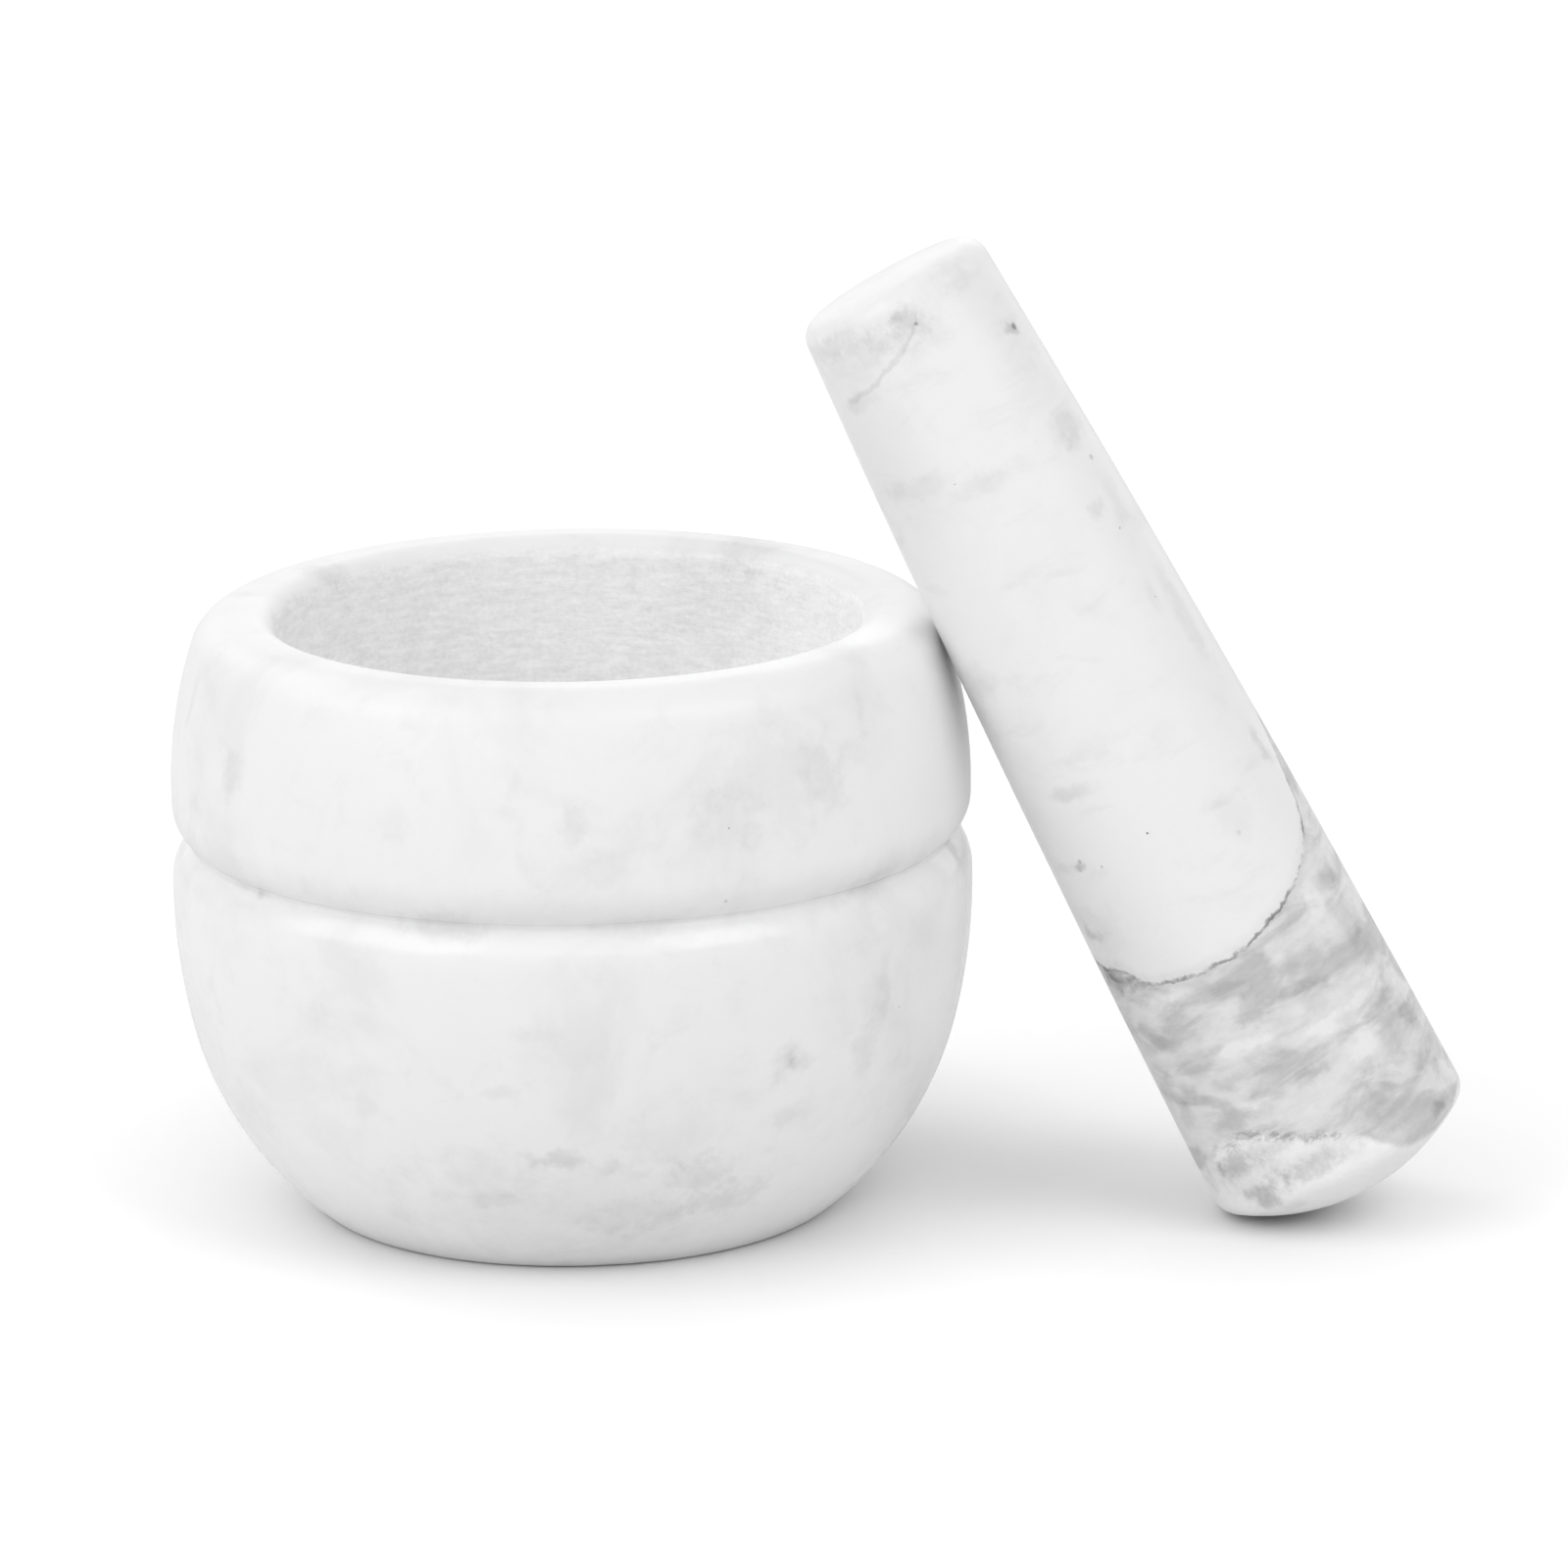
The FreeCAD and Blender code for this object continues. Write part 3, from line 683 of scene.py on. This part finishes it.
# The ground bowl: everything inside the mouth's rounding, above the foot. It has painted light and shade
# across it: darker towards the left, where the left rim shades the inner wall, and lighter towards the right.
across, deep, up = add_node(tree, "ShaderNodeSeparateXYZ", {0: place}).outputs
radius = length_of(tree, add_node(tree, "ShaderNodeCombineXYZ", {0: across, 1: deep}).outputs[0])
wandering = maths(tree, "MULTIPLY_ADD", cloud(tree, place, *GROUND_EDGE), GROUND_EDGE_WANDER, radius)
within = less(tree, smooth_step(tree, wandering, GROUND_RADIUS, GROUND_RADIUS + GROUND_EDGE_WIDTH))
in_bowl = maths(tree, "MULTIPLY", within, maths(tree, "GREATER_THAN", up, BOWL_FLOOR_CLEAR))
ribs = cloud(tree, vector_maths(tree, "MULTIPLY", place, RIBS_DRAWN_OUT), *RIB_PATTERN)
pits = cloud(tree, place, *PIT_PATTERN)
tooth = maths(tree, "MULTIPLY_ADD", ribs, RIB_SHARE, maths(tree, "MULTIPLY", pits, PIT_SHARE))
# Painted light and shade: the bowl's colour darker to the left and lighter to the right.
bowl_painted_light_and_shade = maths(tree, "MULTIPLY_ADD", across, BOWL_PAINTED_SHADE_SLOPE, BOWL_DARKNESS)
bowl_tooth_and_painted_shade = maths(
    tree, "MULTIPLY_ADD", maths(tree, "SUBTRACT", NOISE_MIDDLE, tooth), BOWL_CONTRAST, bowl_painted_light_and_shade)
dark = maths(tree, "MULTIPLY_ADD", in_bowl, bowl_tooth_and_painted_shade, dark)
# The collar and the rim are duller than the belly, from the pestle and from the hand.
polished = group_node(tree, polish, {"Position": place, **BELLY_GLOSS})
on_collar = smooth_step(tree, up, GROOVE_HEIGHT, GROOVE_HEIGHT + COLLAR_FADE)
rough = blend(tree, on_collar, polished.outputs["Roughness"], COLLAR_ROUGHNESS)
rough = blend(tree, in_bowl, rough, BOWL_ROUGHNESS)
ripple = maths(tree, "MULTIPLY", polished.outputs["Height"], RIPPLE_HEIGHT)
height = blend(tree, in_bowl, ripple, maths(tree, "MULTIPLY", tooth, BOWL_TOOTH))
add_marble(tree, output, dark, rough, height)
mortar.data.materials.append(mortar_material)
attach(mortar, "mortar")
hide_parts("mortar")

# ---- Pestle ----
# A bar of the same marble, turned to a slight barrel shape and polished, with a ground, domed grinding face.
# It stands on the edge of that face and leans on the mortar's rim.

LEAN = math.radians(27.06)
FACE_CURVE = 0.0275
FACE_RADIUS = 0.0171
FACE_EDGE = 0.0024
SHANK_CURVE = 2.5
TOP_RADIUS = 0.01235
TOP_EDGE = 0.0030
TOP_CURVE = 0.095
PESTLE_LENGTH = 0.1294
STEP_SHANK = 0.0007

top_height = PESTLE_LENGTH - FACE_CURVE
corner = Vector((FACE_RADIUS, -math.sqrt(FACE_CURVE ** 2 - FACE_RADIUS ** 2)))
top_corner = Vector((TOP_RADIUS, top_height - (TOP_RADIUS ** 2) / (2 * TOP_CURVE)))
shank_centre = touching_centre((corner, SHANK_CURVE), (top_corner, SHANK_CURVE), True)
face_centre = Vector((0, 0))
cap_centre = Vector((0, top_height - TOP_CURVE))
face_edge_centre = touching_centre(
    (face_centre, FACE_CURVE - FACE_EDGE), (shank_centre, SHANK_CURVE - FACE_EDGE), True)
top_edge_centre = touching_centre(
    (shank_centre, SHANK_CURVE - TOP_EDGE), (cap_centre, TOP_CURVE - TOP_EDGE), True)
pestle_outline = arc_points(
    face_centre, FACE_CURVE, -math.pi / 2, heading(face_centre, face_edge_centre), STEP_SHANK)
pestle_outline += arc_points(
    face_edge_centre, FACE_EDGE, heading(face_centre, face_edge_centre),
    heading(shank_centre, face_edge_centre), STEP_FINE)
pestle_outline += arc_points(
    shank_centre, SHANK_CURVE, heading(shank_centre, face_edge_centre),
    heading(shank_centre, top_edge_centre), STEP_SHANK)
pestle_outline += arc_points(
    top_edge_centre, TOP_EDGE, heading(shank_centre, top_edge_centre),
    heading(cap_centre, top_edge_centre), STEP_FINE)
pestle_outline += arc_points(
    cap_centre, TOP_CURVE, heading(cap_centre, top_edge_centre), math.pi / 2, STEP_SHANK)


FACE_HEIGHT = -0.0214
ASKEW_TOP = math.radians(1.7)
ASKEW_DEPTH = 0.012
SHANK_WAVE_HEIGHT = 0.00003
SHANK_WAVE_SCALE = 70
SHANK_MARK_HEIGHT = 0.000006


def pestle_relief(place):
    """Polished a little out of true along the shank, and rough on the grinding face."""
    if place.z < FACE_HEIGHT:
        return GRIT_HEIGHT * noise.noise(place * GRIT_SCALE)
    waves = SHANK_WAVE_HEIGHT * noise.noise(place * SHANK_WAVE_SCALE)
    return waves + SHANK_MARK_HEIGHT * noise.noise(place * PAD_MARK_SCALE)


# Grey clouds in the white part: degrees round from the front, height, half sizes and darkness.
SHANK_PATCHES = [
    ((0, 0.1005), 0.0200, 0.0045, 0.05),
    ((12, 0.0970), 0.0030, 0.0040, 0.13),
    ((10, 0.0950), 0.0060, 0.0045, 0.07),
    ((-40, 0.0975), 0.0110, 0.0026, 0.10),
    ((-15, 0.0960), 0.0090, 0.0026, 0.07),
    ((-40, 0.0905), 0.0050, 0.0014, 0.08),
    ((-30, 0.0945), 0.0120, 0.0040, 0.035),
    ((67, 0.0896), 0.0020, 0.0014, 0.22),
    ((45, 0.0990), 0.0030, 0.0050, 0.05),
    ((66, 0.0760), 0.0050, 0.0036, 0.11),
    ((62, 0.0740), 0.0030, 0.0020, 0.08),
    ((53, 0.0655), 0.0022, 0.0018, 0.10),
    ((70, 0.0650), 0.0030, 0.0060, 0.06),
    ((-30, 0.0780), 0.0100, 0.0022, 0.06),
    ((10, 0.0755), 0.0090, 0.0022, 0.06),
    ((58, 0.0530), 0.0016, 0.0040, 0.05),
    ((72, 0.0480), 0.0030, 0.0120, 0.08),
    ((-50, 0.0524), 0.0060, 0.0040, 0.09),
    ((-62, 0.0480), 0.0036, 0.0060, 0.08),
    ((-24, 0.0360), 0.0055, 0.0016, 0.12),
    ((-10, 0.0400), 0.0080, 0.0020, 0.05),
    ((-40, 0.0270), 0.0016, 0.0008, 0.24),
    ((-52, 0.0270), 0.0060, 0.0012, 0.07),
    ((36, 0.0250), 0.0040, 0.0050, 0.05),
    ((-56, 0.0180), 0.0040, 0.0016, 0.22),
    ((-50, 0.0185), 0.0070, 0.0050, 0.06),
    ((75, 0.0290), 0.0016, 0.0050, 0.14),
    ((120, 0.0800), 0.0050, 0.0040, 0.09),
    ((160, 0.0620), 0.0080, 0.0030, 0.08),
    ((190, 0.0900), 0.0040, 0.0060, 0.08),
    ((225, 0.0500), 0.0070, 0.0050, 0.08),
    ((265, 0.0700), 0.0040, 0.0050, 0.07),
]
# Darker clouds in the grey part under the vein, and the paler streaks that cross it.
GREY_PATCHES = [
    ((66, 0.0050), 0.0040, 0.0060, 0.12),
    ((74, 0.0110), 0.0022, 0.0030, 0.10),
    ((60, -0.0052), 0.0034, 0.0024, 0.12),
    ((74, -0.0094), 0.0034, 0.0040, 0.16),
    ((73, -0.0163), 0.0030, 0.0044, 0.15),
    ((62, -0.0205), 0.0022, 0.0014, 0.20),
    ((12, -0.0082), 0.0036, 0.0018, 0.16),
    ((18, -0.0070), 0.0050, 0.0024, 0.09),
    ((-14, -0.0047), 0.0060, 0.0016, 0.13),
    ((-43, -0.0042), 0.0030, 0.0022, 0.14),
    ((-52, -0.0080), 0.0024, 0.0030, 0.12),
    ((4, 0.0058), 0.0050, 0.0016, 0.09),
    ((30, 0.0008), 0.0040, 0.0030, 0.10),
    ((16, 0.0015), 0.0060, 0.0016, 0.07),
    ((-50, 0.0023), 0.0070, 0.0018, 0.12),
    ((-62, 0.0050), 0.0030, 0.0030, 0.10),
    ((-14, -0.0116), 0.0046, 0.0009, 0.12),
    ((1, -0.0153), 0.0040, 0.0010, 0.10),
    ((-30, -0.0145), 0.0050, 0.0020, 0.09),
    ((-5, -0.0185), 0.0034, 0.0020, 0.08),
    ((-30, -0.0200), 0.0044, 0.0024, 0.13),
    ((-54, 0.0112), 0.0050, 0.0012, 0.14),
    ((-52, 0.0118), 0.0050, 0.0009, 0.22),
    ((-43, 0.0102), 0.0060, 0.0008, 0.20),
    ((-60, 0.0125), 0.0034, 0.0014, 0.20),
    ((-34, 0.0088), 0.0040, 0.0008, 0.12),
    ((36, -0.0150), 0.0040, 0.0040, 0.08),
    ((-8, -0.0012), 0.0080, 0.0014, -0.12),
    ((31, -0.0036), 0.0060, 0.0012, -0.12),
    ((50, -0.0036), 0.0040, 0.0016, -0.10),
    ((64, -0.0023), 0.0024, 0.0030, -0.08),
    ((42, -0.0080), 0.0040, 0.0030, -0.11),
    ((53, 0.0094), 0.0026, 0.0050, -0.09),
    ((-10, -0.0082), 0.0080, 0.0010, -0.10),
    ((26, -0.0205), 0.0080, 0.0030, -0.12),
    ((-30, 0.0078), 0.0050, 0.0016, -0.08),
    ((-38, -0.0180), 0.0036, 0.0016, -0.06),
]
# Grey clouds in the ground face.
FACE_PATCHES = [
    ((-38, -0.0152), 0.0076, 0.0024, 0.26),
    ((-29, -0.0198), 0.0050, 0.0030, 0.34),
    ((-3, -0.0186), 0.0056, 0.0024, 0.18),
    ((-20, -0.0230), 0.0030, 0.0014, 0.10),
    ((-36, -0.0165), 0.0150, 0.0050, 0.09),
    ((-56, -0.0155), 0.0060, 0.0040, 0.08),
    ((2, -0.0175), 0.0100, 0.0030, 0.08),
    ((-12, -0.0142), 0.0090, 0.0016, 0.10),
    ((14, -0.0195), 0.0030, 0.0016, 0.06),
    ((60, -0.0200), 0.0022, 0.0012, 0.20),
    ((140, -0.0235), 0.0060, 0.0030, 0.12),
    ((-120, -0.0240), 0.0060, 0.0030, 0.12),
]
SHANK_SPECKS = [
    (14, 0.0964, 0.0003, 0.35), (-7, 0.0768, 0.00012, 0.5), (70, 0.0711, 0.0005, 0.25),
    (61, 0.0620, 0.0002, 0.4), (59, 0.0525, 0.00012, 0.5), (-0.5, 0.0279, 0.0002, 0.7),
    (-39, 0.0276, 0.0004, 0.3), (69, 0.0898, 0.0006, 0.35), (-28, 0.0262, 0.0002, 0.4),
    (36, 0.0225, 0.0004, 0.12),
]
# The edge of the grey part goes round the bar as (degrees from the front, height in millimetres).
VEIN_PATH = [
    (-180, 30), (-140, 24), (-100, 18), (-65, 13.5), (-44, 12.4), (-34, 10.4), (-22, 9.7), (0, 9.4),
    (12, 9.7), (31, 11.4), (45, 12.9), (57, 14.8), (68, 17.2), (76, 20), (84, 26), (100, 33), (140, 35),
    (180, 30),
]
# The edge of the ground face, in the same terms. It is ground further up the front left of the bar.
FACE_PATH = [
    (-180, -20), (-130, -18), (-90, -16.4), (-66, -15.1), (-50, -13.2), (-27, -12.1), (-15, -12.7),
    (-6, -14.1), (7, -15.9), (20, -17.6), (28, -20.1), (36, -21.8), (46, -22.5), (61, -23), (71, -21.9),
    (85, -20.7), (130, -20.5), (180, -20),
]
# A hair vein runs down from the dark speck near the top.
HAIR_PATH = [
    (-180, 90), (-60, 90.6), (-46, 90.9), (-35, 91.2), (-26, 91.7), (-16, 92.5), (-6, 93.5), (3, 94.5),
    (9, 95.4), (14, 96.6), (24, 99), (180, 99),
]


def height_round(tree, share, path, lowest_level, highest_level):
    """Height of a path round the bar, between two levels. share is how far round from the back, 0 to 1."""
    lookup = add_node(tree, "ShaderNodeFloatCurve", {"Value": share})
    curve = lookup.mapping.curves[0]
    rise = highest_level - lowest_level
    points = [((degrees + 180) / 360, (level - lowest_level) / rise) for degrees, level in path]
    curve.points[0].location = points[0]
    curve.points[-1].location = points[-1]
    for point in points[1:-1]:
        curve.points.new(*point)
    lookup.mapping.update()
    return maths(tree, "MULTIPLY_ADD", lookup.outputs[0], rise / 1000, lowest_level / 1000)


pestle = turned_mesh("marble_pestle", pestle_outline, pestle_relief)
for vertex in pestle.data.vertices:
    bend = min(max((vertex.co.z - (top_height - ASKEW_DEPTH)) / ASKEW_DEPTH, 0), 1)
    vertex.co.z += vertex.co.x * math.tan(ASKEW_TOP) * bend * bend
pestle_low, pestle_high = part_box("pestle")
reach = max(place.x * math.cos(LEAN) - place.y * math.sin(LEAN) for place in pestle_outline)
pestle.location = (pestle_high.x - reach, 0, pestle_low.z + FACE_CURVE)
pestle.rotation_euler.y = -LEAN

PESTLE_SEED = (0.71, 0.02, 0.33)
PESTLE_CLOUDS = 0.035
PESTLE_WARP_SCALE = 260.0
PESTLE_WARP = 0.0034
VEIN_WARP_SCALE = 700.0
VEIN_WARP = 0.0013
PESTLE_MOTTLE = (450.0, 3.0, 0.6)
PESTLE_TEARS = (330.0, 5.0, 0.7)
DRAWN_OUT = (1.0, 1.0, 2.4)
STREAKS = (85.0, 5.0, 0.65, 0.4)
STREAK_START = 0.5
STREAK_FULL = 0.76
STREAK_DARKNESS = 0.06

pestle_material, tree, output = new_material("pestle_marble")
place = add_node(tree, "ShaderNodeTexCoord").outputs["Object"]
warped = group_node(tree, stone_warp, {
    "Position": place, "Scale": PESTLE_WARP_SCALE, "Amount": PESTLE_WARP}).outputs["Warped"]
finely = group_node(tree, stone_warp, {
    "Position": place, "Scale": VEIN_WARP_SCALE, "Amount": VEIN_WARP}).outputs["Warped"]
ground = group_node(tree, marble_ground, {
    "Position": place, "Seed": PESTLE_SEED, "Clouds": PESTLE_CLOUDS}).outputs["Darkness"]
mottle = maths(tree, "MULTIPLY_ADD", cloud(tree, place, *PESTLE_MOTTLE), MOTTLE_GAIN, MOTTLE_LEAST)
ragged = maths(tree, "MULTIPLY_ADD", cloud(tree, place, *PESTLE_TEARS), TEAR_GAIN, TEAR_MIDDLE)
drawn_out = vector_maths(tree, "MULTIPLY", place, DRAWN_OUT)
streaks = smooth_step(tree, cloud(tree, drawn_out, *STREAKS), STREAK_START, STREAK_FULL)
white_part = maths(tree, "MULTIPLY", add_patches(tree, warped, ragged, SHANK_PATCHES, pestle_outline), mottle)
white_part = maths(tree, "MULTIPLY_ADD", streaks, STREAK_DARKNESS, white_part)

# The hair vein, which fades out at both ends.
HAIR_LEVELS = (80.0, 100.0)
HAIR_INNER = 0.0001
HAIR_OUTER = 0.0006
HAIR_MIDDLE = math.radians(16)
HAIR_FULL = 0.45
HAIR_END = 0.62
HAIR_DARKNESS = 0.12

across, deep, up = add_node(tree, "ShaderNodeSeparateXYZ", {0: finely}).outputs
bearing = maths(tree, "ARCTAN2", across, maths(tree, "MULTIPLY", deep, -1.0))
share = maths(tree, "MULTIPLY_ADD", bearing, 0.5 / math.pi, 0.5)
over_hair = maths(tree, "SUBTRACT", up, height_round(tree, share, HAIR_PATH, *HAIR_LEVELS))
hair_span = near(tree, maths(tree, "ADD", bearing, HAIR_MIDDLE), HAIR_FULL, HAIR_END)
hair = maths(tree, "MULTIPLY", near(tree, over_hair, HAIR_INNER, HAIR_OUTER), hair_span)
white_part = maths(tree, "MULTIPLY_ADD", hair, HAIR_DARKNESS, white_part)

# The dark vein at the edge of the grey part: a beaded line with a soft shadow on both sides.
VEIN_LEVELS = (0.0, 50.0)
VEIN_INNER = 0.00006
VEIN_OUTER = 0.00042
BEADS = (170.0, 4.0, 0.7)
BEADS_START = 0.34
BEADS_FULL = 0.60
VEIN_DARKNESS = 0.52
SHADOW_INNER = 0.0002
SHADOW_OUTER = 0.0020
SHADOW_DARKNESS = 0.055
GREY_BELOW = -0.0004
GREY_ABOVE = 0.0003

over_vein = maths(tree, "SUBTRACT", up, height_round(tree, share, VEIN_PATH, *VEIN_LEVELS))
in_grey = less(tree, smooth_step(tree, over_vein, GREY_BELOW, GREY_ABOVE))
beads = smooth_step(tree, cloud(tree, place, *BEADS), BEADS_START, BEADS_FULL)
line = maths(tree, "MULTIPLY", near(tree, over_vein, VEIN_INNER, VEIN_OUTER), beads)
shadow = near(tree, over_vein, SHADOW_INNER, SHADOW_OUTER)
vein = maths(tree, "MULTIPLY_ADD", shadow, SHADOW_DARKNESS, maths(tree, "MULTIPLY", line, VEIN_DARKNESS))

# The grey part: clouds drawn out across the bar, with a finer mottling in them.
GREY_BANDS = (95.0, 4.0, 0.55, 0.5)
BANDS_START = 0.38
BANDS_FULL = 0.64
BANDS_DARKNESS = 0.24
GREY_DARKNESS = 0.115
GREY_BLOTCHES = (300.0, 4.0, 0.62, 0.2)
BLOTCH_CONTRAST = 0.28
GREY_LEAST = 0.02

bands = smooth_step(tree, cloud(tree, drawn_out, *GREY_BANDS), BANDS_START, BANDS_FULL)
blotches = maths(tree, "SUBTRACT", cloud(tree, drawn_out, *GREY_BLOTCHES), NOISE_MIDDLE)
grey_patches = add_patches(tree, warped, ragged, GREY_PATCHES, pestle_outline)
grey_part = maths(tree, "MULTIPLY_ADD", bands, BANDS_DARKNESS, GREY_DARKNESS)
grey_part = maths(tree, "MULTIPLY_ADD", blotches, BLOTCH_CONTRAST, grey_part)
grey_part = maths(tree, "MULTIPLY_ADD", grey_patches, mottle, grey_part)
grey_part = maths(tree, "MAXIMUM", grey_part, GREY_LEAST)
dark = maths(tree, "ADD", blend(tree, in_grey, white_part, grey_part), vein)
dark = maths(tree, "ADD", dark, ground)
dark = add_specks(tree, place, dark, SHANK_SPECKS, pestle_outline)

# The face is ground: matt, with a few grey clouds and a chipped edge in front. It is painted paler than the
# polished stone, partly as the ground stone's own whiteness and partly as painted light that lifts the shade
# near the paper.
FACE_LEVELS = (-30.0, 0.0)
FACE_INNER = -0.0010
FACE_OUTER = 0.0006
FACE_CONTRAST = 0.12
# Painted light on the face, partly its own paler stone: a lift taken off its darkness.
FACE_LIFT_WITH_PAINTED_LIGHT = -0.035
CHIP_INNER = 0.0003
CHIP_OUTER = 0.0013
CHIPS_MIDDLE = math.radians(14)
CHIPS_FULL = 0.35
CHIPS_END = 0.75
CHIP_PATTERN = (620.0, 4.0, 0.75)
CHIP_START = 0.47
CHIP_FULL = 0.60
GLINT_PATTERN = (1300.0, 2.0, 0.6)
GLINT_START = 0.60
GLINT_FULL = 0.68
GLINT_SHARE = -0.45
CHIP_DARKNESS = 0.26

over_face = maths(tree, "SUBTRACT", up, height_round(tree, share, FACE_PATH, *FACE_LEVELS))
on_face = less(tree, smooth_step(tree, over_face, FACE_INNER, FACE_OUTER))
pits = cloud(tree, place, *PIT_PATTERN)
face_dark = maths(tree, "MULTIPLY", add_patches(tree, warped, ragged, FACE_PATCHES, pestle_outline), mottle)
face_dark = maths(tree, "MULTIPLY_ADD", maths(tree, "SUBTRACT", NOISE_MIDDLE, pits), FACE_CONTRAST, face_dark)
# Painted light: the whole face is lifted paler, against the shade near the paper.
face_dark = maths(tree, "ADD", face_dark, FACE_LIFT_WITH_PAINTED_LIGHT)
chips = smooth_step(tree, cloud(tree, drawn_out, *CHIP_PATTERN), CHIP_START, CHIP_FULL)
glints = smooth_step(tree, cloud(tree, place, *GLINT_PATTERN), GLINT_START, GLINT_FULL)
chips = maths(tree, "MULTIPLY_ADD", glints, GLINT_SHARE, chips)
in_front = near(tree, maths(tree, "ADD", bearing, CHIPS_MIDDLE), CHIPS_FULL, CHIPS_END)
at_edge = maths(tree, "MULTIPLY", near(tree, over_face, CHIP_INNER, CHIP_OUTER), in_front)
chipped = maths(tree, "MULTIPLY", at_edge, chips)
dark = maths(tree, "MULTIPLY_ADD", chipped, CHIP_DARKNESS, blend(tree, on_face, dark, face_dark))

SHANK_GLOSS = {"Least": 0.29, "Most": 0.38}
FACE_ROUGHNESS = 0.7
FACE_TOOTH = 0.00010

polished = group_node(tree, polish, {"Position": place, **SHANK_GLOSS})
rough = blend(tree, on_face, polished.outputs["Roughness"], FACE_ROUGHNESS)
ripple = maths(tree, "MULTIPLY", polished.outputs["Height"], RIPPLE_HEIGHT)
height = blend(tree, on_face, ripple, maths(tree, "MULTIPLY", pits, FACE_TOOTH))
add_marble(tree, output, dark, rough, height)
pestle.data.materials.append(pestle_material)
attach(pestle, "pestle")
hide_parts("pestle")
